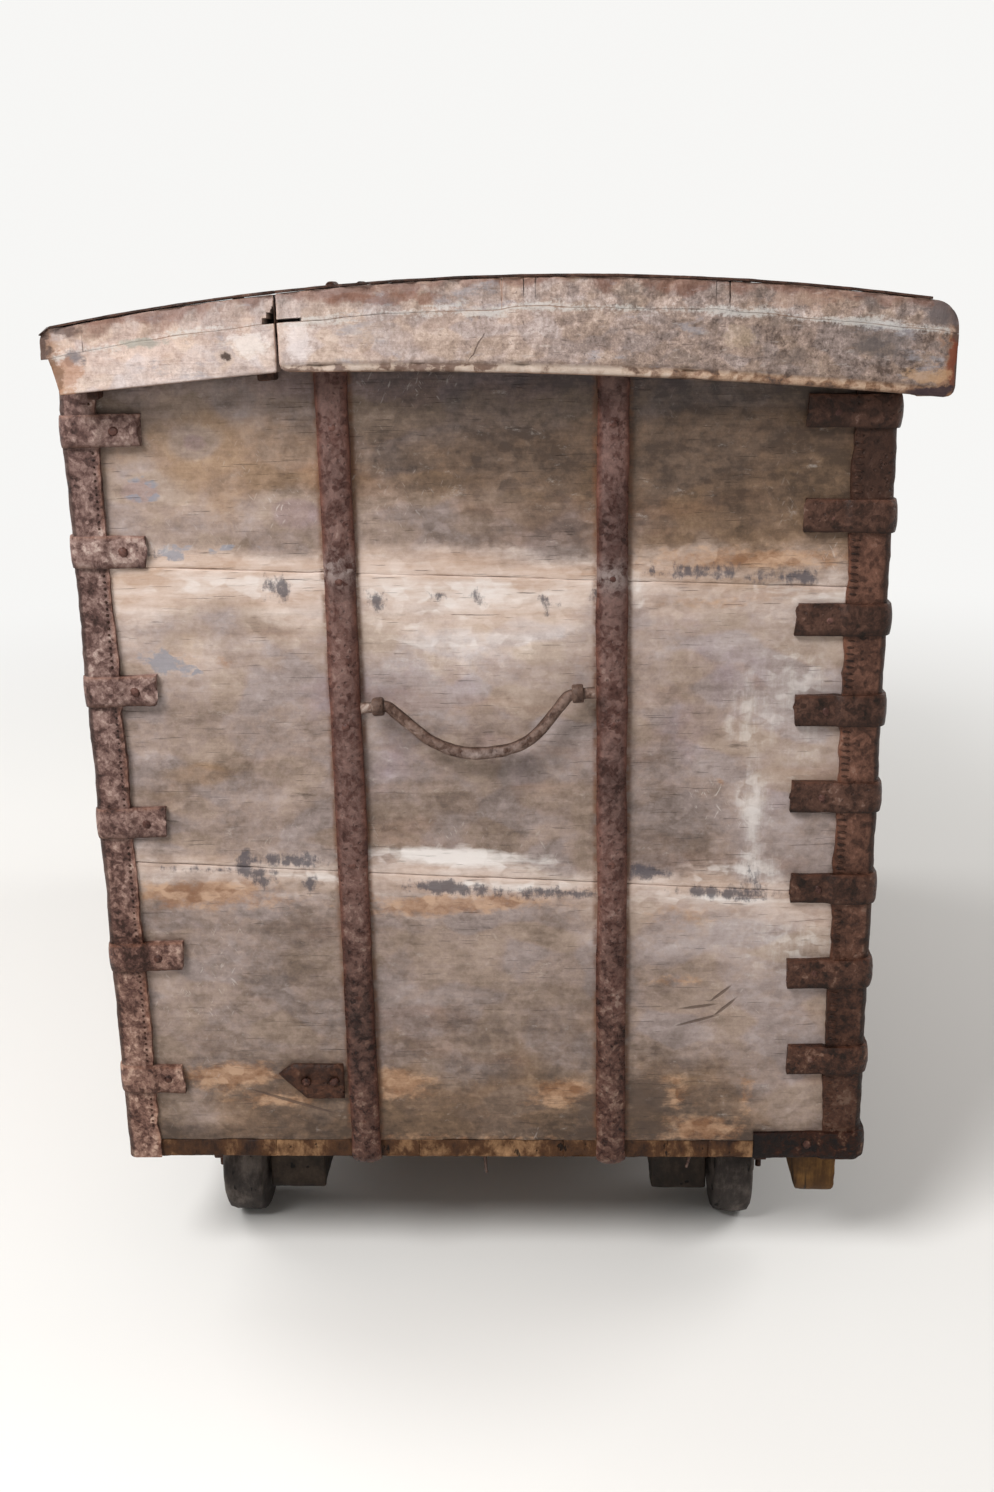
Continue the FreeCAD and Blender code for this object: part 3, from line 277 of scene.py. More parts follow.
# %% Finish helper
class Recipe:
    """A node tree that is being written."""

    def __init__(self, tree):
        self.tree = tree
        self.tree.nodes.clear()

    def node(self, kind, inputs=None, **settings):
        """Adds a node, sets it up and feeds its inputs, given by name or number."""
        made = self.tree.nodes.new(kind)
        for name, value in settings.items():
            setattr(made, name, value)
        for name, value in (inputs or {}).items():
            self.feed(made.inputs[name], value)
        return made

    def feed(self, socket, value):
        """Links a socket into an input, or sets the input to a plain value."""
        if isinstance(value, bpy.types.NodeSocket):
            self.tree.links.new(value, socket)
        elif socket.type == "RGBA":
            socket.default_value = (*value, 1.0)
        else:
            socket.default_value = value

    def math(self, operation, first, second=0.0):
        return self.node("ShaderNodeMath", {0: first, 1: second}, operation=operation).outputs[0]

    def plus(self, first, second):
        return self.math("ADD", first, second)

    def minus(self, first, second):
        return self.math("SUBTRACT", first, second)

    def times(self, first, second):
        return self.math("MULTIPLY", first, second)

    def most(self, *values):
        result = values[0]
        for value in values[1:]:
            result = self.math("MAXIMUM", result, value)
        return result

    def step(self, value, low, high):
        """0 below low and 1 above high, eased between them; low may be the larger."""
        inputs = {"Value": value, "From Min": low, "From Max": high}
        return self.node("ShaderNodeMapRange", inputs, interpolation_type="SMOOTHSTEP").outputs[0]


class Finish(Recipe):
    """A node material that is being mixed."""

    def __init__(self, name):
        self.material = bpy.data.materials.new(name)
        self.material.use_nodes = True
        super().__init__(self.material.node_tree)
        self.place = self.node("ShaderNodeTexCoord").outputs["Object"]

    def stretch(self, scale, shift, place=None, turn=0.0):
        """Coordinates for a pattern; scale is in features per metre, one number or one for each axis."""
        place = place or self.place
        if turn:
            rotation = (math.radians(turn), 0.0, 0.0)
            place = self.node("ShaderNodeMapping", {"Vector": place, "Rotation": rotation}).outputs["Vector"]
        scale = scale if isinstance(scale, tuple) else (scale,) * 3
        inputs = {"Vector": place, "Scale": scale, "Location": (shift, shift * 0.7, shift * 1.3)}
        return self.node("ShaderNodeMapping", inputs).outputs["Vector"]

    def noise(self, scale, detail=6.0, rough=0.6, warp=0.0, shift=0.0, turn=0.0):
        """Cloudy values about 0.5."""
        inputs = {"Vector": self.stretch(scale, shift, turn=turn), "Scale": 1.0, "Detail": detail,
                  "Roughness": rough, "Distortion": warp}
        return self.node("ShaderNodeTexNoise", inputs).outputs[0]

    def cells(self, scale, shift):
        """Distance to scattered points, for pits."""
        inputs = {"Vector": self.stretch(scale, shift), "Scale": 1.0}
        return self.node("ShaderNodeTexVoronoi", inputs).outputs["Distance"]

    def shaken(self, amount, scale):
        """Object coordinates pushed about by noise, for ragged borders."""
        scatter = self.node("ShaderNodeTexNoise", {"Vector": self.place, "Scale": scale})
        inputs = {0: scatter.outputs[1], 1: (0.5, 0.5, 0.5)}
        shift = self.node("ShaderNodeVectorMath", inputs, operation="SUBTRACT")
        inputs = {0: shift.outputs[0], 1: (amount,) * 3, 2: self.place}
        return self.node("ShaderNodeVectorMath", inputs, operation="MULTIPLY_ADD").outputs[0]

    def flats(self, scale, shift, shake):
        """Irregular patches, each with its own random value about 0.5, blended at their borders."""
        level = scale[1] if isinstance(scale, tuple) else scale
        place = self.shaken(shake, 0.6 * level)
        inputs = {"Vector": self.stretch(scale, shift, place), "Scale": 1.0, "Smoothness": 0.35}
        patches = self.node("ShaderNodeTexVoronoi", inputs, feature="SMOOTH_F1")
        return self.plus(patches.outputs["Color"], 0.0)

    def thinned(self, value, mask, share):
        """A value that is weaker by a share where the mask is 1."""
        kept = self.minus(1.0, self.times(mask, share))
        return self.times(value, kept)

    def mix(self, amount, under, over, mode="MIX"):
        inputs = {0: amount, 6: under, 7: over}
        return self.node("ShaderNodeMix", inputs, data_type="RGBA", blend_type=mode).outputs[2]

    def coat(self, colour, mask, strength, over, mode="MIX"):
        """One more colour over the colour so far, where the mask is 1 and as strong as it says."""
        return self.mix(self.times(mask, strength), colour, over, mode)

    def ramp(self, value, *stops):
        """Colours for a value, each stop a position and a colour; the first two are the ramp's own."""
        made = self.node("ShaderNodeValToRGB", {0: value})
        for index, (position, colour) in enumerate(stops):
            points = made.color_ramp.elements
            point = points[index] if index < 2 else points.new(position)
            point.position = position
            point.color = (*colour, 1.0)
        return made.outputs[0]

    def mark(self, name):
        return self.node("ShaderNodeAttribute", attribute_name=name).outputs["Fac"]

    def along(self, axis):
        return self.node("ShaderNodeSeparateXYZ", {0: self.place}).outputs[axis]

    def dab(self, centre, reach, turn=0.0, place=None):
        """A soft spot on an end of the chest: 1 in its centre, 0 at its reach; turned in degrees."""
        inputs = {"Vector": place or self.place, "Location": centre, "Scale": reach,
                  "Rotation": (math.radians(turn), 0.0, 0.0)}
        spot = self.node("ShaderNodeMapping", inputs, vector_type="TEXTURE").outputs[0]
        return self.node("ShaderNodeTexGradient", {0: spot}, gradient_type="SPHERICAL").outputs["Fac"]

    def done(self, colour, roughness, height, depth, specular):
        """Closes the recipe with the shader; depth is the relief in metres for heights 0 to 1."""
        bump = self.node("ShaderNodeBump", {"Strength": 1.0, "Distance": depth, "Height": height})
        inputs = {"Base Color": colour, "Roughness": roughness, "Specular IOR Level": specular,
                  "Normal": bump.outputs["Normal"]}
        shader = self.node("ShaderNodeBsdfPrincipled", inputs)
        self.node("ShaderNodeOutputMaterial", {"Surface": shader.outputs["BSDF"]})
        return self.material


print("a finish can use", ", ".join(name for name in vars(Finish) if not name.startswith("_")))

# %% [markdown]
# Wall planks are grey-brown and blotchy, with fine level grain. Where two meet their edges
# stand out, and are worn to bare peach-coloured wood, with smears of old limewash and blue-black
# blots beside the seam. These pale bands, a white patch over the lower seam and white patches
# on the front part of the middle plank are partly a painted highlight, the sheen that the raised
# edges would catch. Under the lid the wood is painted dark, partly as grease and partly as the
# lid's shadow, and near the floor rust has stained it orange. Noise alone can't put such coats
# in their places. So the mesh carries them as soft marks, and the noises here break up their
# borders.

# %% Wall plank finish
STRAP_PLACES = {"end": (-0.09165, 0.14235), "long": (0.15, 0.39)}
STRAP_HALF = 0.0135


def added(finish, base, *parts):
    """Base plus each (noise, amount) about the noise's middle value."""
    for noise, amount in parts:
        swing = finish.times(finish.minus(noise, 0.5), amount)
        base = finish.plus(base, swing)
    return base


def layer(finish, colour, mark, noise, swing, low, high, strength, over):
    """One more coat: a mark from the mesh, made ragged by a noise, over the colour so far."""
    mark = finish.mark(mark)
    ragged = finish.times(finish.minus(noise, 0.5), swing)
    ragged = finish.times(ragged, finish.step(mark, 0.02, 0.22))
    mask = finish.step(finish.plus(mark, ragged), low, high)
    return finish.coat(colour, mask, strength, over)


def rust_line(finish):
    """1 on the wood beside a strap, where rust has bled into it."""
    aside = finish.math("ABSOLUTE", finish.along("X"))
    gaps = [finish.minus(finish.along("Y"), place) for place in STRAP_PLACES["end"]]
    gaps += [finish.minus(aside, place) for place in STRAP_PLACES["long"]]
    gaps = [finish.math("ABSOLUTE", gap) for gap in gaps]
    return finish.most(*[finish.step(gap, STRAP_HALF + 0.0055, STRAP_HALF + 0.001) for gap in gaps])


GOUGES = (((-0.172, 0.2845), 0.022, 8.0), ((-0.193, 0.298), 0.016, 40.0), ((-0.172, 0.2705), 0.026, 16.0),
          ((-0.197, 0.284), 0.018, 42.0), ((0.21, 0.186), 0.055, -17.0))


def wall_plank_finish():
    wood = Finish("old wall plank")
    blotch = wood.noise(8, detail=7, rough=0.68, warp=0.8)
    streak = wood.noise((2.6, 2.6, 48), rough=0.68, shift=3)
    grain = wood.noise((7, 7, 330), detail=4, rough=0.7, shift=5)
    speckle = wood.noise(170, detail=4, rough=0.75, shift=9)
    mottle = wood.noise((42, 42, 75), detail=7, rough=0.74, shift=13)
    patch = wood.noise((80, 80, 105), detail=4, rough=0.7, shift=15)
    broad = wood.flats((30, 30, 52), 2, 0.02)
    small = wood.flats((90, 90, 130), 6, 0.008)
    shade = added(wood, wood.mark("shade"), (blotch, 0.6), (streak, 0.36), (grain, 0.08), (speckle, 0.36),
                  (mottle, 0.55), (broad, 0.12), (small, 0.16))
    colour = wood.ramp(shade, (0.0, (0.062, 0.045, 0.038)), (0.5, (0.297, 0.232, 0.202)),
                       (0.25, (0.158, 0.117, 0.096)), (0.75, (0.425, 0.352, 0.318)),
                       (1.0, (0.6, 0.525, 0.485)))
    tint = wood.ramp(added(wood, wood.flats((22, 22, 36), 9, 0.025), (patch, 0.8)),
                     (0.25, (0.94, 0.95, 1.0)), (0.75, (1.0, 0.945, 0.86)), (0.5, (1.0, 0.955, 0.93)))
    colour = wood.mix(1.0, colour, tint, "MULTIPLY")
    warmth = added(wood, wood.mark("ochre"), (wood.noise(14, detail=5, shift=17), 1.8))
    ochre = wood.step(warmth, 0.3, 0.9)
    colour = wood.coat(colour, ochre, 0.62, (1.0, 0.82, 0.56), "MULTIPLY")
    lavender = wood.step(warmth, -0.15, -0.6)
    colour = wood.coat(colour, lavender, 0.8, (0.9, 0.865, 1.0), "MULTIPLY")
    rosy = wood.step(wood.noise((5, 5, 22), detail=5, shift=37), 0.54, 0.68)
    colour = wood.coat(colour, rosy, 0.4, (1.0, 0.84, 0.76), "MULTIPLY")
    chalk = wood.step(wood.noise((46, 46, 95), rough=0.78, shift=41), 0.58, 0.76)
    colour = wood.coat(colour, chalk, 0.32, (0.6, 0.545, 0.5))
    ragged = wood.noise((10, 10, 34), rough=0.65, shift=51)
    torn = added(wood, ragged, (patch, 0.8), (mottle, 0.6))
    soft = added(wood, ragged, (broad, 0.12), (small, 0.08), (mottle, 0.5))
    rubbed = wood.noise((6, 6, 50), rough=0.65, shift=61)
    rubbed = added(wood, rubbed, (small, 0.12), (broad, 0.08), (mottle, 0.3))
    peach = wood.ramp(rubbed, (0.3, (0.43, 0.285, 0.2)), (0.72, (0.72, 0.625, 0.575)),
                      (0.5, (0.575, 0.445, 0.375)))
    # Bare wood at the seams, pale partly as a painted sheen on the raised edges.
    colour = layer(wood, colour, "worn", soft, 0.9, 0.08, 0.8, 0.88, peach)
    orange = wood.ramp(added(wood, mottle, (small, 0.4)), (0.34, (0.22, 0.1, 0.045)),
                       (0.66, (0.46, 0.285, 0.175)))
    colour = layer(wood, colour, "stain", torn, 2.0, 0.25, 1.0, 0.75, orange)
    grime = wood.noise((22, 22, 95), rough=0.72, shift=77)
    colour = layer(wood, colour, "grime", grime, 2.6, 0.45, 0.95, 0.7, (0.065, 0.042, 0.031))
    # Old limewash. Its white spot over the middle of the lower seam is a painted highlight.
    lime = added(wood, wood.noise((9, 9, 60), rough=0.7, shift=71), (small, 0.2))
    colour = layer(wood, colour, "limed", lime, 2.0, 0.2, 1.0, 0.85, (0.74, 0.69, 0.66))
    # White smears together with a painted sheen on the front part of the middle plank.
    brushed = wood.noise((70, 70, 14), rough=0.7, shift=73)
    brushed = added(wood, brushed, (small, 0.3), (mottle, 0.4))
    colour = layer(wood, colour, "smeared", brushed, 1.6, 0.1, 1.0, 0.62, (0.7, 0.66, 0.63))
    fleck = added(wood, wood.noise((60, 60, 24), rough=0.75, shift=91), (patch, 0.6))
    colour = layer(wood, colour, "blot", fleck, 3.6, 0.35, 1.1, 0.82, (0.06, 0.055, 0.068))
    smudge = added(wood, torn, (small, 0.6))
    colour = layer(wood, colour, "blue", smudge, 2.4, 0.45, 1.0, 0.75, (0.215, 0.225, 0.265))
    bled = wood.times(rust_line(wood), wood.step(mottle, 0.36, 0.58))
    colour = wood.coat(colour, bled, 0.75, (0.15, 0.062, 0.028))
    lines = [wood.step(wood.noise((75, 75, 340), detail=2, shift=shift, turn=turn), 0.64, 0.72)
             for shift, turn in ((101.0, 62.0), (105.0, -58.0))]
    scored = added(wood, wood.mark("scored"), (wood.noise(7, detail=3, shift=111), 1.0))
    hatch = wood.times(wood.most(*lines), wood.step(scored, 0.02, 0.35))
    colour = wood.coat(colour, hatch, 0.42, (0.6, 0.55, 0.51))
    crack = wood.step(wood.noise((26, 26, 700), detail=2, shift=121), 0.67, 0.74)
    dark = wood.plus(wood.times(wood.mark("worn"), 0.35), 0.32)
    colour = wood.coat(colour, crack, dark, (0.06, 0.043, 0.035))
    cuts = [wood.dab((-HALF_LENGTH, *place), (0.02, reach, 0.0019), -turn) for place, reach, turn in GOUGES]
    cut = wood.step(wood.most(*cuts), 0.05, 0.45)
    colour = wood.coat(colour, cut, 0.75, (0.075, 0.045, 0.033))
    roughness = wood.ramp(added(wood, blotch, (mottle, 0.5)), (0.3, (0.3,) * 3), (0.7, (0.56,) * 3))
    relief = added(wood, wood.times(streak, 0.5), (grain, 0.5), (speckle, 0.35), (mottle, 0.5))
    relief = wood.minus(relief, wood.times(wood.most(cut, crack), 0.8))
    return wood.done(colour, roughness, relief, 0.0008, specular=0.25)


PLANK_WOOD = wall_plank_finish()
print("made", PLANK_WOOD.name)

# %% [markdown]
# The top is paler, pinkish wood that gets darker and dirtier towards the front, and part of
# that darkening is painted light that falls off towards the front. The sawn ends of the boards
# are rough, split and rusty, and a broken smear of limewash runs along the line where they meet
# the fascia. Each face could have its own material, but stains run on round the edges, so one
# material reads marks instead: end on the sawn ends, border for the height over that line, bead
# on the bead along the lower edge. The boards' long faces, where border is large, show grain
# along the chest. Painted shade darkens the ends of the top, the bead's groove and the fascias'
# lower edges, and the broken corner at the joint is painted black as the shade inside it.

# %% Lid wood finish
LID_SPOTS = (
    ((0.288, 0.891), (0.03, 0.006), (0.3, 0.3, 0.26), 0.7),
    ((0.347, 0.88), (0.014, 0.01), (0.1, 0.1, 0.12), 0.7),
    ((0.204, 0.887), (0.026, 0.014), (0.74, 0.68, 0.65), 0.6),
    ((0.354, 0.868), (0.018, 0.022), (0.36, 0.17, 0.085), 0.6),
    ((-0.19, 0.886), (0.02, 0.012), (0.5, 0.39, 0.25), 0.2),
    ((0.09, 0.922), (0.07, 0.006), (0.19, 0.08, 0.05), 0.6),
    ((-0.35, 0.904), (0.02, 0.016), (0.105, 0.085, 0.085), 0.8),
    ((-0.3595, 0.866), (0.0055, 0.026), (0.15, 0.035, 0.014), 0.85),
    ((-0.34, 0.855), (0.026, 0.009), (0.44, 0.27, 0.15), 0.6),
    ((-0.3445, 0.8415), (0.028, 0.0055), (0.03, 0.016, 0.02), 0.95),
    ((-0.302, 0.879), (0.028, 0.014), (0.085, 0.075, 0.075), 0.5),
    ((0.363, 0.87), (0.01, 0.02), (0.16, 0.085, 0.05), 0.7),
    ((0.35, 0.9015), (0.018, 0.007), (0.075, 0.042, 0.034), 0.7),
    ((0.318, 0.909), (0.03, 0.006), (0.2, 0.1, 0.07), 0.6),
    ((0.163, 0.89), (0.014, 0.022), (0.72, 0.65, 0.64), 0.55),
    ((-0.237, 0.915), (0.05, 0.008), (0.36, 0.235, 0.175), 0.5),
    ((0.222, 0.8785), (0.01, 0.01), (0.52, 0.4, 0.33), 0.6),
    ((0.222, 0.8785), (0.0055, 0.006), (0.05, 0.03, 0.022), 0.95),
)


def lid_wood_finish():
    wood = Finish("worn lid wood")
    blotch = wood.noise(11, detail=7, rough=0.68, warp=0.7)
    streak = wood.noise((3, 3, 60), rough=0.68, shift=4)
    grain = wood.noise((8, 8, 420), detail=4, shift=6)
    mottle = wood.noise((70, 70, 95), rough=0.78, shift=9)
    speckle = wood.noise(300, detail=4, rough=0.78, shift=10)
    fibre = wood.noise((60, 130, 40), rough=0.74, shift=8)
    broad = wood.flats((40, 40, 60), 2, 0.016)
    small = wood.flats((130, 130, 150), 6, 0.006)
    front = wood.step(wood.along("Y"), 0.2, -0.2)
    fine = added(wood, 0.0, (mottle, 0.62), (speckle, 1.15), (fibre, 0.5), (small, 0.3))
    fine = wood.times(fine, wood.plus(wood.times(front, 0.55), 0.6))
    flat = wood.step(wood.mark("border"), 0.4, 0.6)
    fine = wood.thinned(fine, flat, 0.6)
    ridges = wood.noise((1.6, 34, 34), detail=7, rough=0.72, shift=18)
    hairs = wood.noise((4, 260, 260), detail=3, shift=19)
    lengthwise = added(wood, 0.0, (ridges, 1.1), (hairs, 0.45))
    fine = wood.plus(fine, wood.times(wood.minus(lengthwise, 0.14), flat))
    shade = added(wood, wood.mark("shade"), (blotch, 0.62), (streak, 0.4), (grain, 0.1), (broad, 0.12))
    shade = wood.plus(shade, fine)
    colour = wood.ramp(shade, (0.0, (0.08, 0.055, 0.044)), (0.45, (0.295, 0.225, 0.19)),
                       (0.7, (0.475, 0.38, 0.335)), (1.0, (0.7, 0.605, 0.555)))
    tint = wood.ramp(added(wood, wood.flats((60, 60, 80), 12, 0.012), (mottle, 0.8)),
                     (0.22, (0.94, 0.95, 1.0)), (0.78, (1.0, 0.945, 0.885)), (0.5, (1.0, 0.96, 0.95)))
    colour = wood.mix(1.0, colour, tint, "MULTIPLY")
    rosy = wood.step(wood.noise((7, 7, 26), detail=5, shift=11), 0.5, 0.64)
    colour = wood.coat(colour, rosy, 0.3, (1.0, 0.86, 0.78), "MULTIPLY")
    high = added(wood, wood.mark("border"), (wood.noise(30, shift=12), 0.05))
    rusty = wood.times(wood.step(high, 0.012, 0.02), wood.mark("end"))
    colour = wood.coat(colour, rusty, 0.62, (0.17, 0.07, 0.045))
    split = wood.step(wood.noise((20, 300, 9), detail=3, rough=0.5, shift=16), 0.685, 0.73)
    split = wood.times(split, wood.mark("end"))
    colour = wood.coat(colour, split, 0.9, (0.03, 0.02, 0.017))
    steel = wood.step(wood.noise((16, 16, 42), rough=0.7, shift=14), 0.56, 0.66)
    colour = wood.coat(colour, steel, 0.55, (0.3, 0.29, 0.315))
    dirt = wood.noise((24, 24, 40), rough=0.72, shift=22)
    dirt = wood.step(added(wood, wood.times(front, 0.3), (dirt, 1.6)), 0.3, 0.55)
    colour = wood.coat(colour, wood.thinned(dirt, flat, 0.7), 0.55, (0.105, 0.082, 0.074))
    warm = wood.step(wood.noise((17, 17, 30), detail=5, shift=24), 0.57, 0.68)
    colour = wood.coat(colour, warm, 0.25, (0.54, 0.41, 0.32))
    nicks = wood.step(wood.noise((55, 55, 420), detail=3, shift=43), 0.635, 0.7)
    specks = wood.step(wood.noise(330, detail=3, shift=47), 0.64, 0.7)
    dark = wood.plus(wood.times(front, 0.42), 0.25)
    colour = wood.coat(colour, wood.most(nicks, specks), dark, (0.075, 0.052, 0.045))
    scuffs = wood.step(wood.noise((70, 70, 260), detail=3, shift=53), 0.63, 0.7)
    colour = wood.coat(colour, scuffs, 0.16, (0.72, 0.66, 0.62))
    line = wood.math("ABSOLUTE", wood.mark("border"))
    smear = wood.noise((15, 15, 70), rough=0.7, shift=26)
    limed = wood.step(added(wood, line, (smear, -0.036), (speckle, -0.02)), 0.0045, -0.002)
    colour = wood.coat(colour, limed, 0.6, (0.55, 0.535, 0.51))
    along = added(wood, wood.noise(5, detail=3, shift=33), (mottle, 0.9), (small, 0.35), (streak, 0.5))
    orange = wood.ramp(along, (0.34, (0.035, 0.017, 0.01)), (0.8, (0.6, 0.48, 0.385)),
                       (0.45, (0.2, 0.1, 0.05)), (0.58, (0.42, 0.28, 0.185)))
    cream = wood.ramp(along, (0.38, (0.1, 0.05, 0.03)), (0.62, (0.5, 0.405, 0.335)),
                      (0.47, (0.38, 0.285, 0.22)))
    bead = wood.mix(wood.step(wood.along("Y"), -0.07, -0.16), cream, orange)
    colour = wood.coat(colour, wood.mark("bead"), 0.8, bead)
    # Painted shade in the bead's groove and along the fascias' lower edges.
    groove = wood.times(wood.mark("groove"), wood.step(streak, 0.36, 0.5))
    colour = wood.coat(colour, groove, 0.7, (0.075, 0.045, 0.032))
    bare = wood.times(wood.step(wood.mark("edge"), 0.25, 0.8), wood.step(blotch, 0.42, 0.58))
    colour = wood.coat(colour, bare, 0.5, (0.36, 0.185, 0.105))
    # Darker rust-brown ends of the top: partly rust and partly painted shade where the rounded nose turns
    # away from the light.
    tip = wood.thinned(wood.mark("tip"), flat, 0.45)
    tip = added(wood, tip, (mottle, 1.0), (blotch, 0.8), (small, 0.4))
    colour = wood.coat(colour, wood.step(tip, 0.22, 0.6), 0.65, (0.3, 0.15, 0.078))
    colour = wood.coat(colour, wood.step(tip, 0.52, 0.82), 0.85, (0.05, 0.028, 0.024))
    loose = wood.shaken(0.01, 75.0)
    for (y, z), (reach_y, reach_z), over, strength in LID_SPOTS:
        spot = wood.dab((-LID_END, y, z), (0.05, reach_y, reach_z), 0.0, loose)
        ragged = wood.times(wood.minus(mottle, 0.5), wood.step(spot, 0.0, 0.2))
        spot = wood.step(wood.plus(spot, wood.times(ragged, 2.2)), 0.14, 0.55)
        colour = wood.coat(colour, spot, strength, over)
    cut = wood.dab((-LID_END, 0.0187, 0.883), (0.03, 0.016, 0.0009), -59.0, wood.shaken(0.004, 90.0))
    cut = wood.step(cut, 0.05, 0.5)
    colour = wood.coat(colour, cut, 0.7, (0.1, 0.065, 0.05))
    # The broken corner at the joint is painted near black, as the shade inside the break.
    colour = wood.mix(wood.mark("hole"), colour, (0.008, 0.006, 0.005))
    roughness = wood.ramp(added(wood, blotch, (mottle, 0.5)), (0.3, (0.42,) * 3), (0.7, (0.7,) * 3))
    rough_end = wood.times(wood.mark("end"), wood.minus(fibre, split))
    relief = added(wood, rough_end, (grain, 0.35), (streak, 0.5), (mottle, 0.6), (speckle, 0.3), (cut, -0.6))
    relief = wood.plus(relief, wood.times(wood.times(lengthwise, flat), 0.5))
    return wood.done(colour, roughness, relief, 0.0013, specular=0.25)


LID_WOOD = lid_wood_finish()
print("made", LID_WOOD.name)

# %% [markdown]
# The stained floor boards, the axle blocks, the newer yellow brackets and the dusty wheels are
# seen small or in the shade. The axle blocks are painted near black and the wheels dark, as the
# deep shade under the chest. They differ in colour and in the run of their grain only, so they
# share one recipe and need no marks.

# %% Plain wood finishes
def plain_wood_finish(name, dark, middle, pale, grain_scale, depth):
    wood = Finish(name)
    blotch = wood.noise(16, rough=0.65, warp=0.4)
    grain = wood.noise(grain_scale, rough=0.7, shift=3)
    tone = wood.plus(wood.times(blotch, 0.55), wood.times(grain, 0.45))
    colour = wood.ramp(tone, (0.38, dark), (0.5, middle), (0.63, pale))
    split = wood.step(wood.noise(tuple(1.7 * s for s in grain_scale), detail=2, shift=7), 0.66, 0.74)
    colour = wood.coat(colour, split, 0.85, tuple(0.2 * v for v in dark))
    relief = wood.minus(grain, split)
    roughness = wood.ramp(blotch, (0.3, (0.55,) * 3), (0.7, (0.8,) * 3))
    return wood.done(colour, roughness, relief, depth, specular=0.2)


FLOOR_WOOD = plain_wood_finish(
    "stained floor board", (0.012, 0.004, 0.002), (0.066, 0.027, 0.01), (0.31, 0.175, 0.088),
    (5.0, 70.0, 40.0), 0.002)
SHADED_BLOCK_WOOD = plain_wood_finish(
    "block wood darkened as shade", (0.006, 0.004, 0.003), (0.02, 0.013, 0.009), (0.055, 0.038, 0.027),
    (12.0, 60.0, 40.0), 0.001)
BRACKET_WOOD = plain_wood_finish(
    "newer bracket wood", (0.02, 0.007, 0.002), (0.07, 0.031, 0.008), (0.21, 0.105, 0.03),
    (30.0, 60.0, 9.0), 0.0008)
WHEEL_WOOD = plain_wood_finish(
    "dusty wheel wood darkened as shade", (0.01, 0.008, 0.007), (0.04, 0.031, 0.027), (0.14, 0.115, 0.1),
    (26.0, 60.0, 26.0), 0.0018)
print("made", [finish.name for finish in (FLOOR_WOOD, SHADED_BLOCK_WOOD, BRACKET_WOOD, WHEEL_WOOD)])

# %% [markdown]
# Wrought iron goes brown, not orange, when it is handled and waxed for many years. A metallic
# shader would mirror the lamps, which rust does not, so this is a rough plain one that mixes a
# dark skin, redder patches, pale dusty bloom and small pits. Over that come a painted highlight
# and painted shade where the meshes mark them. The rear corner irons have much bloom and the
# front ones hardly any, and all grow darker towards the floor.

# %% Iron finishes
def iron_finish(name, black, dark, rust, bloom, share, steady, flaky=0.0, shine=0.5, foot=1.0):
    """Four colours, dark to pale; share moves the tone, steady and flaky spread it, foot dims it low down."""
    iron = Finish(name)
    patch = iron.noise(60, detail=8, rough=0.75, warp=0.4)
    fine = iron.noise(480, detail=4, rough=0.75, shift=5)
    large = iron.noise(9, detail=4, shift=9)
    flake = iron.noise(220, detail=5, rough=0.74, shift=15)
    small = iron.flats(210, 6, 0.004)
    low = iron.step(added(iron, iron.along("Z"), (large, 0.4)), 0.56, 0.2)
    tone = added(iron, patch, (patch, 0.4), (small, 0.35), (flake, 0.5), (fine, 0.34), (large, 0.9))
    swing = iron.plus(iron.times(low, flaky), steady)
    tone = iron.times(iron.minus(tone, 0.5), swing)
    tone = iron.plus(tone, 0.5 + share)
    colour = iron.ramp(tone, (0.26, black), (0.8, bloom), (0.43, dark), (0.61, rust))
    pit = iron.step(iron.cells(190, shift=3), 0.3, 0.12)
    pit = iron.times(pit, iron.step(large, 0.42, 0.6))
    colour = iron.coat(colour, pit, 0.35, black)
    rubbed = iron.times(iron.step(iron.mark("edge"), 0.05, 0.9), iron.step(patch, 0.36, 0.56))
    red = (1.05 * rust[0], 0.72 * rust[1], 0.5 * rust[2])
    colour = iron.coat(colour, rubbed, 0.34, red)
    # Painted highlight: a pale sheen where the mesh marks it.
    highlight_mask = iron.step(added(iron, patch, (small, 0.3)), 0.34, 0.62)
    highlight_mask = iron.times(iron.mark("proud"), highlight_mask)
    colour = iron.coat(colour, highlight_mask, 0.6, (0.29, 0.24, 0.225))
    # Painted shade where the under mark is: below the clasps, round the corner bends and along handle bars'
    # tops and bottoms. It is partly grease near the front irons' tops, and a darker tone on the eye rings.
    colour = iron.coat(colour, iron.mark("under"), 0.8, tuple(0.6 * v for v in black))
    colour = iron.mix(low, colour, (foot, 0.88 * foot, 0.78 * foot), "MULTIPLY")
    roughness = iron.ramp(tone, (0.35, (shine - 0.1,) * 3), (0.65, (shine + 0.22,) * 3))
    relief = added(iron, tone, (pit, -0.6))
    return iron.done(colour, roughness, relief, 0.0012, specular=0.16)


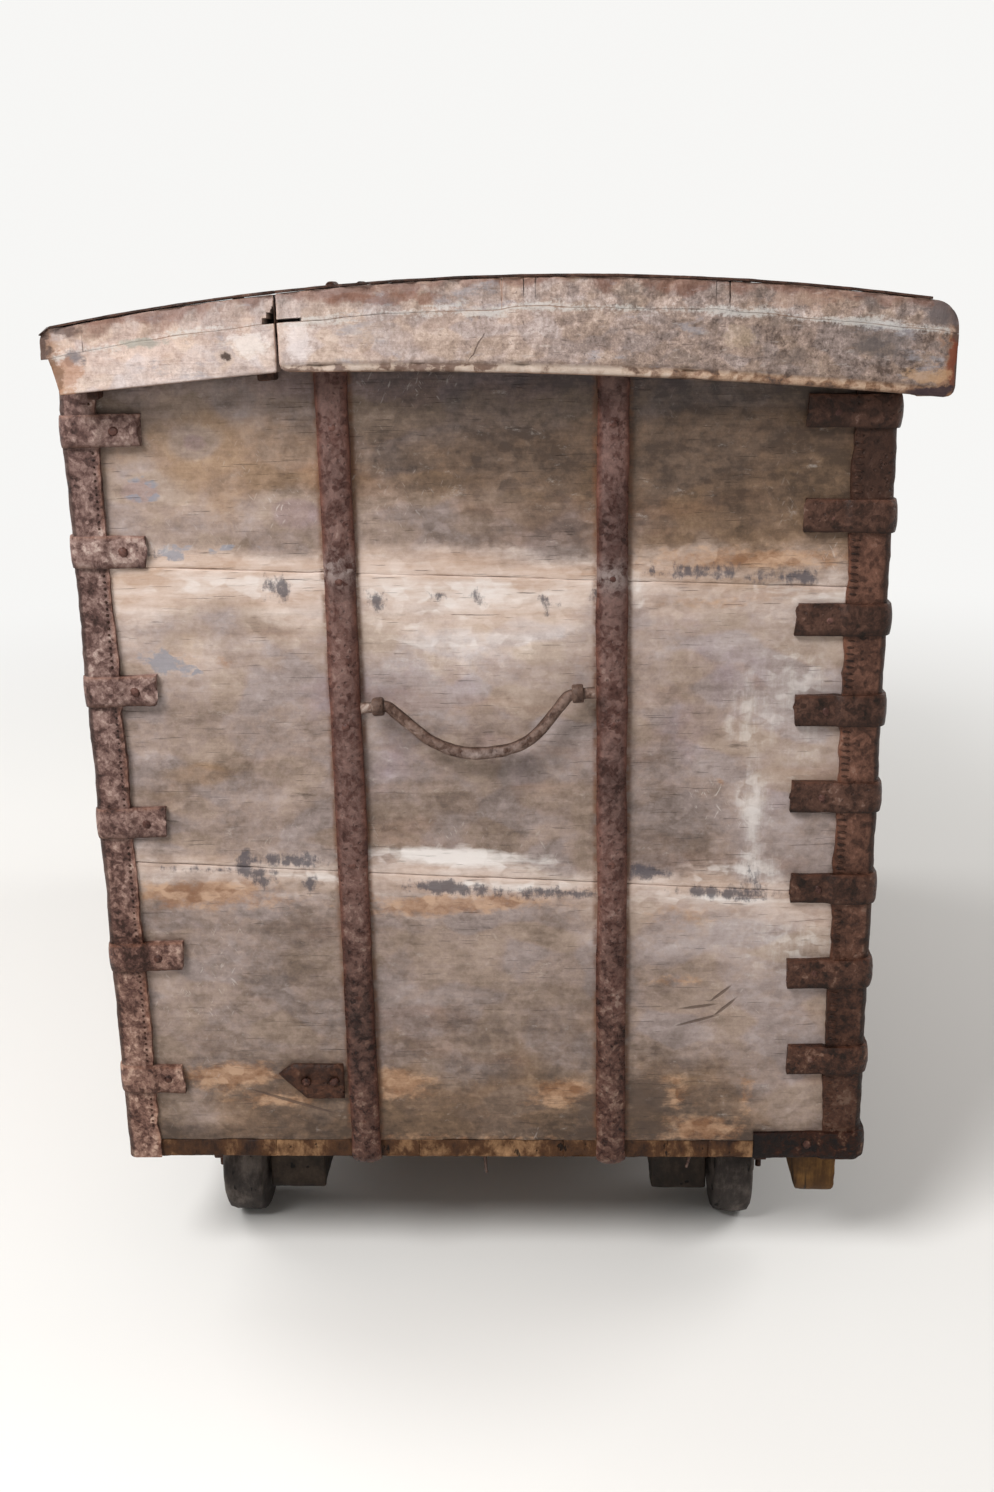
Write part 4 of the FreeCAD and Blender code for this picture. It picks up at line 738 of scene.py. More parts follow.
STRAP_IRON = iron_finish(
    "purple-brown strap iron", (0.02, 0.008, 0.006), (0.066, 0.028, 0.022), (0.15, 0.073, 0.058),
    (0.35, 0.25, 0.21), share=-0.02, steady=0.48, flaky=0.4, shine=0.36, foot=0.6)
REAR_IRON = iron_finish(
    "mottled rear iron", (0.028, 0.013, 0.01), (0.1, 0.053, 0.045), (0.254, 0.165, 0.142),
    (0.5, 0.385, 0.335), share=0.045, steady=0.8, flaky=0.1, shine=0.5, foot=0.9)
FRONT_IRON = iron_finish(
    "red-brown front iron", (0.018, 0.008, 0.005), (0.074, 0.033, 0.022), (0.168, 0.08, 0.054),
    (0.32, 0.21, 0.165), share=0.0, steady=0.6, flaky=0.2, shine=0.42, foot=0.34)
CLASP_IRON = iron_finish(
    "dark clasp iron", (0.01, 0.005, 0.003), (0.04, 0.018, 0.012), (0.094, 0.046, 0.032),
    (0.26, 0.175, 0.14), share=-0.02, steady=0.6, flaky=0.3, shine=0.4, foot=0.8)
SHOE_IRON = iron_finish(
    "black shoe iron", (0.003, 0.001, 0.001), (0.011, 0.004, 0.002), (0.032, 0.011, 0.006),
    (0.17, 0.115, 0.085), share=-0.09, steady=0.9)
DARK_IRON = iron_finish(
    "dark top iron", (0.008, 0.004, 0.003), (0.032, 0.014, 0.009), (0.074, 0.035, 0.023),
    (0.17, 0.11, 0.083), share=-0.03, steady=0.6)
HANDLE_IRON = iron_finish(
    "rubbed handle iron", (0.018, 0.008, 0.005), (0.08, 0.044, 0.032), (0.175, 0.108, 0.082),
    (0.44, 0.35, 0.3), share=0.03, steady=0.6, shine=0.34)
print("made seven irons")

# %% [markdown]
# Each wall is three planks. Drying has cupped them, so their middles lie a few millimetres
# deeper than their edges, which are worn and chipped along the seams. A flat cube would lose
# the soft shading that shows this, so each plank is a gridded box: along the wall, up it and
# through it. Its coats of dirt and wear, with some painted light and shade among them, could be
# painted on an image. Here they are sums of soft hills, which stay sharp at any size and need
# no file.

# %% Wall planks
CUP = 0.0036
FAR = 1.0
ROWS = {
    "lower": (lambda y: FLOOR_TOP + 0 * y, lambda y: seam(LOW_SEAM, y)),
    "middle": (lambda y: seam(LOW_SEAM, y), lambda y: seam(HIGH_SEAM, y)),
    "upper": (lambda y: seam(HIGH_SEAM, y), lambda y: arch(y, BOARD + 0.0004)),
}
# Tone up each row of planks. The upper row darkens towards the lid, partly as grease and partly as painted
# shade of the lid. The lower row darkens towards the floor.
ROW_SHADES = {
    "lower": ((0.0, 0.08), (0.12, 0.17), (0.25, 0.3), (0.4, 0.37), (0.8, 0.41), (1.0, 0.48)),
    "middle": ((0.0, 0.42), (0.12, 0.36), (0.4, 0.46), (0.75, 0.6), (1.0, 0.7)),
    "upper": ((0.0, 0.5), (0.15, 0.33), (0.4, 0.18), (0.7, 0.11), (0.85, 0.05), (1.0, -0.03)),
}
# Some shade hills are painted light. (-0.235, 0.5) is a sheen on the middle plank. (0.25, 0.845), (0.02,
# 0.85) and (0.325, 0.765) lighten the shade under the lid and beside the rear corner iron.
WALL_SPOTS = {
    "shade": (
        (0.25, 0.785, 0.13, 0.05, 0.31), (-0.22, 0.77, 0.13, 0.06, -0.12), (0.03, 0.635, 0.09, 0.035, 0.26),
        (0.03, 0.475, 0.1, 0.03, -0.08), (-0.235, 0.5, 0.05, 0.09, 0.16), (-0.14, 0.455, 0.05, 0.03, -0.1),
        (-0.19, 0.355, 0.11, 0.03, 0.26), (0.3, 0.31, 0.05, 0.06, 0.12), (-0.15, 0.56, 0.08, 0.07, -0.1),
        (-0.21, 0.26, 0.07, 0.05, 0.06), (0.287, 0.166, 0.04, 0.008, 0.25), (-0.245, 0.3, 0.035, 0.03, 0.14),
        (-0.15, 0.325, 0.03, 0.02, -0.12), (-0.285, 0.25, 0.02, 0.04, 0.14),
        (-0.17, 0.225, 0.05, 0.016, -0.1), (0.25, 0.845, 0.11, 0.026, 0.31), (0.02, 0.85, 0.1, 0.022, 0.1),
        (-0.265, 0.18, 0.035, 0.032, 0.3), (0.29, 0.178, 0.045, 0.02, 0.2), (-0.2, 0.245, 0.04, 0.02, 0.1),
        (0.325, 0.765, 0.035, 0.05, 0.22), (0.26, 0.648, 0.09, 0.012, -0.14),
        (0.24, 0.737, 0.09, 0.017, 0.12), (0.065, 0.737, 0.055, 0.02, 0.12),
        (-0.21, 0.69, 0.09, 0.02, -0.16),
    ),
    "ochre": (
        (0.23, 0.79, 0.1, 0.05, 1.0), (-0.05, 0.79, 0.25, 0.04, 0.8), (-0.2, 0.78, 0.15, 0.06, 1.0),
        (0.25, 0.64, 0.1, 0.03, 0.5), (0.3, 0.52, 0.08, 0.06, 0.4), (-0.05, 0.3, 0.2, 0.1, 0.3),
        (0.26, 0.806, 0.018, 0.012, -1.8), (0.31, 0.768, 0.022, 0.014, -1.6),
        (0.178, 0.75, 0.03, 0.015, -1.4), (-0.17, 0.58, 0.09, 0.07, -0.2), (0.05, 0.53, 0.12, 0.03, -0.3),
        (0.0, 0.165, 0.6, 0.05, 1.5), (0.276, 0.514, 0.03, 0.01, 1.2), (-0.176, 0.797, 0.06, 0.006, 1.2),
        (0.0, 0.855, 0.4, 0.022, -0.9), (0.2, 0.6, 0.15, 0.05, -0.3), (-0.265, 0.175, 0.045, 0.04, -1.3),
        (0.295, 0.17, 0.05, 0.022, -0.8), (-0.2, 0.705, 0.12, 0.03, 0.9),
    ),
    "stain": (
        (0.265, 0.213, 0.038, 0.013, 1.4), (0.215, 0.188, 0.05, 0.008, 1.1),
        (0.112, 0.205, 0.034, 0.014, 1.2), (0.285, 0.399, 0.08, 0.013, 1.2), (0.055, 0.389, 0.1, 0.01, 1.2),
        (-0.165, 0.374, 0.06, 0.012, 0.6), (-0.05, 0.2, 0.03, 0.012, 1.0), (-0.02, 0.186, 0.05, 0.006, 0.6),
        (-0.152, 0.198, 0.016, 0.02, 1.0), (-0.178, 0.16, 0.034, 0.011, 1.1),
        (-0.22, 0.195, 0.006, 0.028, 0.8), (0.0, 0.148, 0.3, 0.005, 0.5),
        (-0.188, 0.5036, 0.004, 0.004, 1.1), (0.247, 0.615, 0.01, 0.006, 0.8),
        (-0.15, 0.311, 0.03, 0.006, 0.7), (-0.21, 0.702, 0.09, 0.01, 1.1), (-0.17, 0.668, 0.05, 0.006, 0.6),
    ),
    "grime": (
        (-0.128, 0.186, 0.024, 0.04, 1.15), (-0.133, 0.242, 0.008, 0.008, 1.0),
        (-0.072, 0.176, 0.026, 0.028, 0.9), (0.0775, 0.2645, 0.05, 0.014, 0.6),
        (0.1, 0.181, 0.02, 0.005, 0.8), (0.03, 0.868, 0.3, 0.012, 0.5), (0.18, 0.555, 0.02, 0.005, 0.8),
        (0.183, 0.495, 0.02, 0.006, 0.8), (-0.182, 0.536, 0.05, 0.002, 0.7), (0.33, 0.178, 0.02, 0.01, 0.7),
        (0.05, 0.155, 0.3, 0.008, 0.35),
    ),
    "blue": (
        (0.3, 0.618, 0.022, 0.01, 1.3), (0.284, 0.61, 0.016, 0.006, 0.9), (0.285, 0.713, 0.012, 0.005, 0.8),
        (0.24, 0.716, 0.06, 0.004, 0.5), (0.31, 0.768, 0.02, 0.012, 0.35),
    ),
    "scored": (
        (0.056, 0.849, 0.06, 0.016, 0.3), (0.25, 0.795, 0.07, 0.035, 0.2), (0.267, 0.828, 0.03, 0.01, 0.3),
        (0.18, 0.752, 0.03, 0.012, 0.4), (0.3, 0.29, 0.06, 0.05, 0.3), (-0.188, 0.483, 0.03, 0.02, 0.5),
        (0.05, 0.46, 0.1, 0.03, 0.25),
    ),
    "smeared": (
        (-0.207, 0.57, 0.018, 0.03, 0.5), (-0.219, 0.473, 0.013, 0.036, 0.8), (-0.25, 0.58, 0.03, 0.06, 0.4),
        (-0.218, 0.421, 0.022, 0.014, 0.8), (-0.098, 0.678, 0.02, 0.02, 0.6),
        (-0.26, 0.343, 0.05, 0.03, 0.4),
    ),
    "worn": (
        (0.295, 0.617, 0.055, 0.014, 0.55), (0.3, 0.745, 0.05, 0.012, 0.3), (-0.3, 0.335, 0.03, 0.03, 0.35),
        (-0.2, 0.703, 0.11, 0.014, 0.4),
    ),
}
# The first limed spot over the lower seam, at y 0.05, is a painted highlight and not limewash.
LOW_SEAM_SPOTS = {
    "limed": (
        (0.05, 0.018, 0.08, 0.01, 1.1), (0.0, -0.008, 0.11, 0.006, 0.8), (-0.2, 0.014, 0.04, 0.01, 0.6),
        (-0.21, -0.011, 0.05, 0.006, 0.8), (0.19, -0.006, 0.05, 0.004, 0.5),
    ),
    "blot": (
        (0.064, -0.01, 0.028, 0.006, 1.4), (0.02, -0.014, 0.05, 0.004, 1.0),
        (-0.05, -0.012, 0.04, 0.006, 0.9), (-0.19, -0.004, 0.04, 0.006, 1.3),
        (-0.125, 0.012, 0.025, 0.007, 1.1), (0.2045, 0.009, 0.03, 0.007, 1.2),
        (0.2414, 0.004, 0.01, 0.009, 1.0), (0.2286, -0.012, 0.012, 0.008, 1.1),
        (0.1846, -0.014, 0.01, 0.007, 1.2), (0.26, -0.004, 0.06, 0.004, 0.8),
        (-0.218, 0.016, 0.015, 0.012, 0.8),
    ),
}
HIGH_SEAM_SPOTS = {
    "limed": (
        (-0.255, -0.008, 0.05, 0.009, 0.8), (0.03, -0.014, 0.1, 0.012, 0.55),
        (0.22, -0.014, 0.1, 0.014, 0.45), (0.03, -0.05, 0.1, 0.03, 0.35),
    ),
    "blot": (
        (0.197, -0.015, 0.014, 0.012, 1.1), (0.06, -0.018, 0.009, 0.006, 1.3),
        (0.0245, -0.018, 0.009, 0.007, 1.3), (0.113, -0.022, 0.008, 0.009, 1.2),
        (-0.034, -0.018, 0.009, 0.011, 1.3), (-0.08, -0.014, 0.008, 0.006, 1.0),
        (-0.17, 0.01, 0.05, 0.007, 1.0), (-0.25, 0.008, 0.03, 0.007, 1.0), (0.3, 0.012, 0.015, 0.005, 1.0),
    ),
}
HIGH_WEAR_AND_SHEEN = ((FRONT, 0.42), (-0.11, 0.52), (-0.06, 0.9), (0.05, 0.95), (REAR, 1.1))
LOW_WEAR_AND_SHEEN = ((FRONT, 0.52), (-0.11, 0.55), (0.05, 0.58), (0.16, 0.52), (REAR, 0.52))


def hills(y, z, spots):
    """Sum of soft hills over a wall, each (along, up, reach along, reach up, height)."""
    total = np.zeros(len(y))
    for at_y, at_z, reach_y, reach_z, height in spots:
        total += height * hill(y - at_y, reach_y) * hill(z - at_z, reach_z)
    return total


def wear_and_sheen_band(y, over, gains, seed):
    """Bare wood along a seam, pale partly as a painted sheen on its raised edge, wider below it than above;
    gains say how strong it is along the wall.
    """
    place = np.column_stack([y, over, np.zeros(len(y))])
    width = np.where(over > 0, 0.024, 0.046) * (1 + 0.45 * cloud(place, (0.09, 9.0, 1.0), seed, 2))
    return np.interp(y, *zip(*gains)) * np.clip(1.15 - np.abs(over) / width, 0, 1)


def painted(y, z, share, row, low_z, high_z, seed):
    """The coats of one plank as marks; low_z and high_z are the heights of the two seams."""
    over_low, over_high = z - low_z, z - high_z
    marks = {name: hills(y, z, spots) for name, spots in WALL_SPOTS.items()}
    for name in LOW_SEAM_SPOTS:
        marks[name] = hills(y, over_low, LOW_SEAM_SPOTS[name]) + hills(y, over_high, HIGH_SEAM_SPOTS[name])
    marks["shade"] += np.interp(share, *zip(*ROW_SHADES[row]))
    low_band = wear_and_sheen_band(y, over_low, LOW_WEAR_AND_SHEEN, seed)
    high_band = wear_and_sheen_band(y, over_high, HIGH_WEAR_AND_SHEEN, seed + 4)
    marks["worn"] += np.maximum(low_band, high_band)
    return marks


def wall_plank(node, row, outer, inward, across_x, seed):
    """One plank; outer is the wall's outside plane, across_x says that the wall faces along X."""
    low, high = corners(node)
    thick = abs((high - low)[0 if across_x else 1])
    start, end = (FRONT, REAR) if across_x else (-HALF_LENGTH + thick, HALF_LENGTH - thick)
    bottom, top = ROWS[row]
    height = float(np.mean(top(np.array([FRONT, REAR])) - bottom(np.array([FRONT, REAR]))))
    step = 0.006 if across_x else 0.009
    points, faces = grid_box((end - start, step, 0.004), (height, 0.0055, 0.006), (thick, thick, 0.004))
    radius = chipped(points, seed, 0.05, 0.012, 0.5, 0.0014, 0.0026)
    worn, facing = rounded(points, (end - start, height, thick), radius)
    share = worn[:, 1] / height
    wave = 0.0007 * cloud(points, (0.16, 0.07, 1.0), seed + 2)
    wave += 0.0003 * cloud(points, (0.04, 0.018, 1.0), seed + 3)
    hollow = CUP * (1 - (2 * share - 1) ** 2) + wave
    worn[:, 2] += np.where(facing[:, 2] < -0.3, hollow, 0.0)
    along = start + worn[:, 0]
    deep = outer + inward * worn[:, 2]
    x, y = (deep, along) if across_x else (along, deep)
    level = y if across_x else np.full(len(y), outer)
    rise = bottom(level) + share * ((top(y) if row == "upper" else top(level)) - bottom(level))
    spread = (REAR - FRONT) / (end - start)
    plan = y if across_x else MIDDLE - inward * x * spread
    plan = plan if not (across_x and inward < 0) else 2 * MIDDLE - plan
    marks = painted(plan, rise, share, row, seam(LOW_SEAM, level), seam(HIGH_SEAM, level), seed)
    inside = facing[:, 2] > 0.3
    for name in marks:
        marks[name] = np.where(inside, 0.33 if name == "shade" else 0.0, marks[name])
    return np.stack([x, y, rise], 1), faces, marks


walls = {
    "left_end": (-HALF_LENGTH, 1, True),
    "right_end": (HALF_LENGTH, -1, True),
    "front": (FRONT, 1, False),
    "rear": (REAR, -1, False),
}
for number, (wall, (outer, inward, across_x)) in enumerate(walls.items()):
    for row in ROWS:
        node = f"{wall}_{row}_plank"
        shape = wall_plank(node, row, outer, inward, across_x, 10 * number + len(row))
        add_piece(f"old_{node}", shape, PLANK_WOOD, "chest", "plank_wood", node)

# %% [markdown]
# The top's boards follow the arch. A Simple Deform modifier could bend them, but the arch is
# known as a formula, so the grid of a flat board is laid over the arc directly: along the
# chest, round the arch, and down through the board. The front board's nose and the rear
# board's heel are rounded over, and at the joint a corner and a notch are broken away.

# %% Boards of the top
NOSE = 0.018
HEEL = 0.009
CRISP = 0.0002


def border_wave(y):
    """How the line between the boards' ends and the fascia wanders up and down."""
    return 0.0014 * cloud(np.column_stack([y, 0 * y, 0 * y]), (0.035, 1.0, 1.0), 77, 3)


def bitten(y, above, near_side, node):
    """How deep the end of a board is broken away: a corner at the joint, and a notch beside it."""
    if node == "rear_top_board":
        corner = (y - REAR_TOP_FRONT) / 0.01 + above / 0.013
        return np.where(near_side & (corner < 1), 0.016, 0.0)
    if node == "lid_rear_board":
        notch = (LID_REAR - y < 0.02) & (above < 0.0026)
        return np.where(near_side & notch, 0.007, 0.0)
    return np.zeros(len(y))


def tip_mark(y):
    """1 at the front and rear ends of the top, fading out over a few centimetres."""
    return 1.15 * np.exp((LID_FRONT - y) / 0.009) + 1.3 * np.exp((y - REAR_TOP_END) / 0.011)


def top_marks(facing, **marks):
    """Marks for a piece of the top; those that it does not name are 0."""
    plain = {name: np.zeros(len(facing)) for name in ("end", "bead", "groove", "hole")}
    return {**plain, "edge": bared(facing), **marks}


def arched_board(node, seed, nose=0.0, heel=0.0):
    """One board of the top; nose and heel are the radii of its front and rear edges."""
    low, high = corners(node)
    length, run = high[0] - low[0], high[1] - low[1]
    points, faces = grid_box((length, 0.022, 0.006), (run, 0.0035, 0.003), (BOARD, 0.0021, 0.003))
    radius = chipped(points, seed, 0.03, 0.009, 0.6, 0.0012, 0.0017)
    radius = np.where(points[:, 2] > 0.7 * BOARD, CRISP, radius)
    worn, facing = rounded(points, (length, run, BOARD), radius)
    if nose:
        worn[:, 1:] = pulled_round(worn[:, 1:], nose)
    if heel:
        corner = pulled_round(np.stack([run - worn[:, 1], worn[:, 2]], 1), heel)
        worn[:, 1:] = np.stack([run - corner[:, 0], corner[:, 1]], 1)
    end = np.clip(np.abs(facing[:, 0]) * 1.6 - 0.4, 0, 1)
    ragged = 0.0016 * cloud(points, (1.0, 0.012, 0.03), seed + 2) + 0.001 * cloud(points, 0.006, seed + 3, 2)
    rough = np.clip(ragged + 0.001, 0, 1) * np.clip((BOARD - worn[:, 2]) / 0.006, 0, 1)
    worn[:, 0] -= np.sign(facing[:, 0]) * end * rough
    worn[:, 2] += 0.0006 * cloud(points, (0.4, 0.03, 1.0), seed + 4) * (facing[:, 2] < -0.5)
    y = low[1] + worn[:, 1]
    above = BOARD - worn[:, 2]
    gone = bitten(y, above, facing[:, 0] < -0.4, node)
    worn[:, 0] += gone
    x = low[0] + worn[:, 0]
    near_end = np.clip((np.abs(x) - LID_END + 0.03) / 0.02, 0, 1)
    z = arch(y, worn[:, 2]) + border_wave(y) * near_end * np.clip(1 - above / 0.012, 0, 1)
    # The shade mark pales towards the rear, partly as the wood's own tone and partly as painted light that
    # falls off towards the front.
    shade = 0.4 + 0.35 * (y - LID_FRONT) / (REAR_TOP_END - LID_FRONT)
    marks = top_marks(facing, hole=np.where(gone > 0, 1.0, 0.0), tip=tip_mark(y), end=end, shade=shade,
                      border=np.where(end > 0.3, above, FAR))
    return np.stack([x, y, z], 1), faces, marks


top_boards = (("lid_front_board", "lid", NOSE, 0.0), ("lid_middle_board", "lid", 0.0, 0.0),
              ("lid_rear_board", "lid", 0.0, 0.0), ("rear_top_board", "chest", 0.0, HEEL))
for number, (node, body, nose, heel) in enumerate(top_boards):
    shape = arched_board(node, 100 + 7 * number, nose, heel)
    add_piece(f"old_{node}", shape, LID_WOOD, body, "lid_wood", node)

# %% [markdown]
# Fascias close the ends and the front of the top. The lid's fascias have a bead worked along
# the lower edge: a shallow groove about 8 mm up. A Boolean could cut it, but the chipped edge
# has to follow the groove, so the grid is fine enough to push it in. The fixed rear fascias
# are plain, and their rear ends slant.

# %% Fascias
BEAD = 0.0075
GROOVE = 0.0018
SLANT = 0.007
INSET = 0.006
LOW_CORNER = 0.01
FASCIA_GRID = 0.05


def end_fascia(node, low_edge, y_start, y_end, slant, bead, seed):
    low, high = corners(node)
    thick = high[0] - low[0]
    length = y_end - y_start
    height = FASCIA_GRID
    points, faces = grid_box((length, 0.004, 0.005), (height, 0.0018, 0.003), (thick, 0.005, 0.003))
    radius = chipped(points, seed, 0.04, 0.01, 0.6, 0.0014, 0.0018)
    radius = np.where(points[:, 1] > 0.8 * height, CRISP, radius)
    worn, facing = rounded(points, (length, height, thick), radius)
    if bead:
        worn[:, :2] = pulled_round(worn[:, :2], LOW_CORNER)
        corner = pulled_round(np.stack([length - worn[:, 0], worn[:, 1]], 1), LOW_CORNER)
        worn[:, :2] = np.stack([length - corner[:, 0], corner[:, 1]], 1)
    side = -1 if low[0] < 0 else 1
    outside = facing[:, 2] * side > 0.3
    nibble = np.clip(cloud(points, (0.02, 0.02, 0.02), seed + 5, 2) - 0.25, 0, 1)
    groove = hill(worn[:, 1] - BEAD, 0.0011) * bead
    bitten_bead = 0.007 * nibble * (worn[:, 1] < BEAD) * bead
    sunk = (groove * GROOVE + bitten_bead + 0.0005 * cloud(points, (0.09, 0.02, 1.0), seed + 2)) * outside
    share = worn[:, 1] / height
    y = y_start + worn[:, 0] * (1 - slant * (1 - share) / length)
    bottom = low_edge(y)
    reach = arch(y, BOARD + 0.0001) + border_wave(y) - bottom
    z = bottom + share * reach
    x = low[0] + worn[:, 2] - side * sunk
    beaded = np.where(outside & (worn[:, 1] < BEAD - 0.0006) & bead, 1.0, 0.0)
    # A painted shadow line along the fascia's lower edge.
    lower_edge_shadow = hill(worn[:, 1], 0.0016)
    # The shade mark pales towards the rear, partly as tone and partly as painted light that falls off towards
    # the front.
    marks = top_marks(facing, border=np.where(outside, (share - 1) * reach, FAR), bead=beaded,
                      groove=np.maximum(groove * outside, lower_edge_shadow), tip=tip_mark(y), shade=0.53 + 0.8 * y)
    return np.stack([x, y, z], 1), faces, marks


def rear_fascia_edge(y):
    """Height of the lower edge of the fixed rear fascias, which falls to the rear."""
    heights = (ARCH_TOP - FASCIA_DROP, corners("rear_left_fascia")[0][2])
    return np.interp(y, (REAR_TOP_FRONT, REAR_TOP_END), heights)


for seed, end in enumerate(("left", "right")):
    node = f"lid_{end}_fascia"
    shape = end_fascia(node, fascia_edge, LID_FRONT, LID_REAR, 0.0, True, 200 + 9 * seed)
    add_piece(f"old_{node}", shape, LID_WOOD, "lid", "lid_wood", node)
    node = f"rear_{end}_fascia"
    rear_end = REAR_TOP_END - INSET
    shape = end_fascia(node, rear_fascia_edge, REAR_TOP_FRONT, rear_end, SLANT, False, 240 + 9 * seed)
    add_piece(f"old_{node}", shape, LID_WOOD, "chest", "lid_wood", node)


def front_fascia(node, seed):
    low, high = corners(node)
    size = high - low
    points, faces = grid_box((size[0], 0.008, 0.004), (size[1], 0.006, 0.003), (size[2], 0.002, 0.003))
    worn, facing = rounded(points, size, chipped(points, seed, 0.04, 0.01, 0.6, 0.0014, 0.002))
    y = low[1] + worn[:, 1]
    reach = arch(y, BOARD + 0.0002) - low[2]
    z = low[2] + worn[:, 2] / size[2] * reach
    outside = facing[:, 1] < -0.3
    groove = hill(worn[:, 2] - BEAD, 0.0011) * outside
    y = y + groove * GROOVE
    # The whole front fascia gets a little of the tip darkening, partly rust and partly painted shade.
    marks = top_marks(facing, border=np.where(outside, (worn[:, 2] / size[2] - 1) * reach, FAR),
                      bead=np.where(outside & (worn[:, 2] < BEAD - 0.0006), 1.0, 0.0), groove=groove,
                      tip=np.full(len(y), 0.3), shade=np.full(len(y), 0.44))
    return np.stack([low[0] + worn[:, 0], y, z], 1), faces, marks


shape = front_fascia("lid_front_fascia", 270)
add_piece("old_lid_front_fascia", shape, LID_WOOD, "lid", "lid_wood", "lid_front_fascia")

# %% [markdown]
# Floor boards run the length of the chest. Their sawn ends show under the end planks as a
# rough strip with splits. An even grid would waste its faces on the hidden middle, so the grid
# is fine at the ends and coarse between them, and the ends are eaten back unevenly.

# %% Floor boards
FLOOR_BOARD_COUNT = 5


def floor_board(index):
    size = np.array([2 * HALF_LENGTH, (REAR - FRONT) / FLOOR_BOARD_COUNT, FLOOR_TOP - FLOOR_BOTTOM])
    points, faces = grid_box((size[0], 0.03, 0.006), (size[1], 0.004, 0.003), (size[2], 0.003, 0.002))
    seed = 300 + 5 * index
    worn, facing = rounded(points, size, chipped(points, seed, 0.03, 0.008, 0.7, 0.0008, 0.0022))
    eaten = 0.0012 + 0.0016 * cloud(points, (1.0, 0.014, 0.02), seed + 2)
    eaten += 0.001 * cloud(points, 0.005, seed + 3, 2)
    worn[:, 0] -= np.sign(facing[:, 0]) * (np.abs(facing[:, 0]) > 0.5) * np.clip(eaten, 0, 1)
    place = worn + (-HALF_LENGTH, FRONT + size[1] * index, FLOOR_BOTTOM)
    return place, faces, {}


boards = [floor_board(index) for index in range(FLOOR_BOARD_COUNT)]
add_piece("old_floor_boards", joined(boards), FLOOR_WOOD, "chest", "floor_wood", "floor_boards")

# %% [markdown]
# Half-round straps run up every wall and turn in under the floor. A bevelled curve could make
# them, but hand-forged bar wavers in width and crown. So a section is pushed along a path
# here, and each point of the path has a place and the way the strap faces there. Its back is
# sunk a few millimetres into the wood, because the planks under it are hollow.

# %% Straps
STRAP_CROWN = 0.008
STRAP_EDGE = 0.0008
SUNK = 0.0045
STRAP_FOOT = 0.046
STRAP_BEND = 0.006


def crowned_section(half, edge, crown, count=11):
    """Half-round section: (across, out) pairs over the face, then the sunk back."""
    across = np.sin(np.linspace(-math.pi / 2, math.pi / 2, count))
    out = edge + (crown - edge) * np.sqrt(np.clip(1 - 0.9 * across ** 2, 0, 1))
    face = np.stack([across * half, out], 1)
    back = np.array([[half, -SUNK], [-half, -SUNK]])
    return np.concatenate([face, back])


def bar_along(places, facing, side, half, edge, crown, seed, wander=0.0007):
    """A crowned bar over a path of places; facing and side give each place's two directions."""
    wide = half * (1 + 0.035 * cloud(places, 0.03, seed))
    high = 1 + 0.1 * cloud(places, 0.02, seed + 1)
    drift = wander * cloud(places, 0.12, seed + 2)
    rings = []
    for index, place in enumerate(places):
        section = crowned_section(wide[index], edge[index], crown[index] * high[index])
        offsets = np.outer(section[:, 0] + drift[index], side[index]) + np.outer(section[:, 1], facing[index])
        rings.append(place + offsets)
    points, faces = loft(np.array(rings))
    rough = 0.00045 * cloud(points, 0.007, seed + 3, 2) + 0.0003 * cloud(points, 0.0025, seed + 4, 1)
    points = points + rough[:, None] * np.array([0.6, 0.6, 0.3])
    rim = np.zeros((len(rings), len(rings[0])))
    rim[:, [0, 10]] = 1.0
    rim[:, [1, 9]] = 0.8
    rim[:, [2, 8]] = 0.3
    return points, faces, {"edge": np.append(rim, (0, 0))}


def strap_path(surface, top, out, spread):
    """Down a wall from the top, round the floor's edge and in under the floor."""
    foot = STRAP_FOOT
    bend = STRAP_BEND
    heights = np.linspace(top, FLOOR_BOTTOM + bend, round((top - FLOOR_BOTTOM) / 0.006))
    turn = np.linspace(0, math.pi / 2, 7)[1:]
    run = np.linspace(0, foot, 8)[1:]
    up = np.array([0.0, 0.0, 1.0])
    places = [surface + up * height for height in heights]
    facing = [out] * len(heights)
    centre = surface + up * (FLOOR_BOTTOM + bend) - out * bend
    for angle in turn:
        direction = out * math.cos(angle) - up * math.sin(angle)
        places.append(centre + direction * bend)
        facing.append(direction)
    for distance in run:
        places.append(centre - up * bend - out * distance)
        facing.append(-up)
    count = len(places)
    crown = np.full(count, STRAP_CROWN)
    crown[-len(run):] = 0.003
    edge = np.full(count, STRAP_EDGE)
    return np.array(places), np.array(facing), np.array([spread] * count), edge, crown


def straps(node, out, offsets, seed):
    """The straps of one wall; offsets are their places along it."""
    shapes = []
    out = np.array(out, float)
    spread = np.array([0.0, 1.0, 0.0]) if out[0] else np.array([1.0, 0.0, 0.0])
    face = np.array([HALF_LENGTH * out[0], 0, 0])
    if out[1]:
        face = np.array([0, FRONT if out[1] < 0 else REAR, 0])
    for number, offset in enumerate(offsets):
        surface = face + spread * offset
        top = float(arch(np.array([surface[1] + 0.009 * out[1]]), BOARD + 0.006)[0])
        path = strap_path(surface, top, out, spread)
        points, faces, marks = bar_along(*path[:3], STRAP_HALF, *path[3:], seed + 11 * number)
        # Painted highlight where the strap crosses the upper seam, and a weaker one down its middle.
        over = points[:, 2] - seam(HIGH_SEAM, surface[1])
        marks["proud"] = hill(over - 0.004, 0.011) + 0.25 * np.clip(1 - 3 * marks["edge"], 0, 1)
        shapes.append((points, faces, marks))
    add_piece(f"forged_{node}", joined(shapes), STRAP_IRON, "chest", "rusty_strap_iron", node)


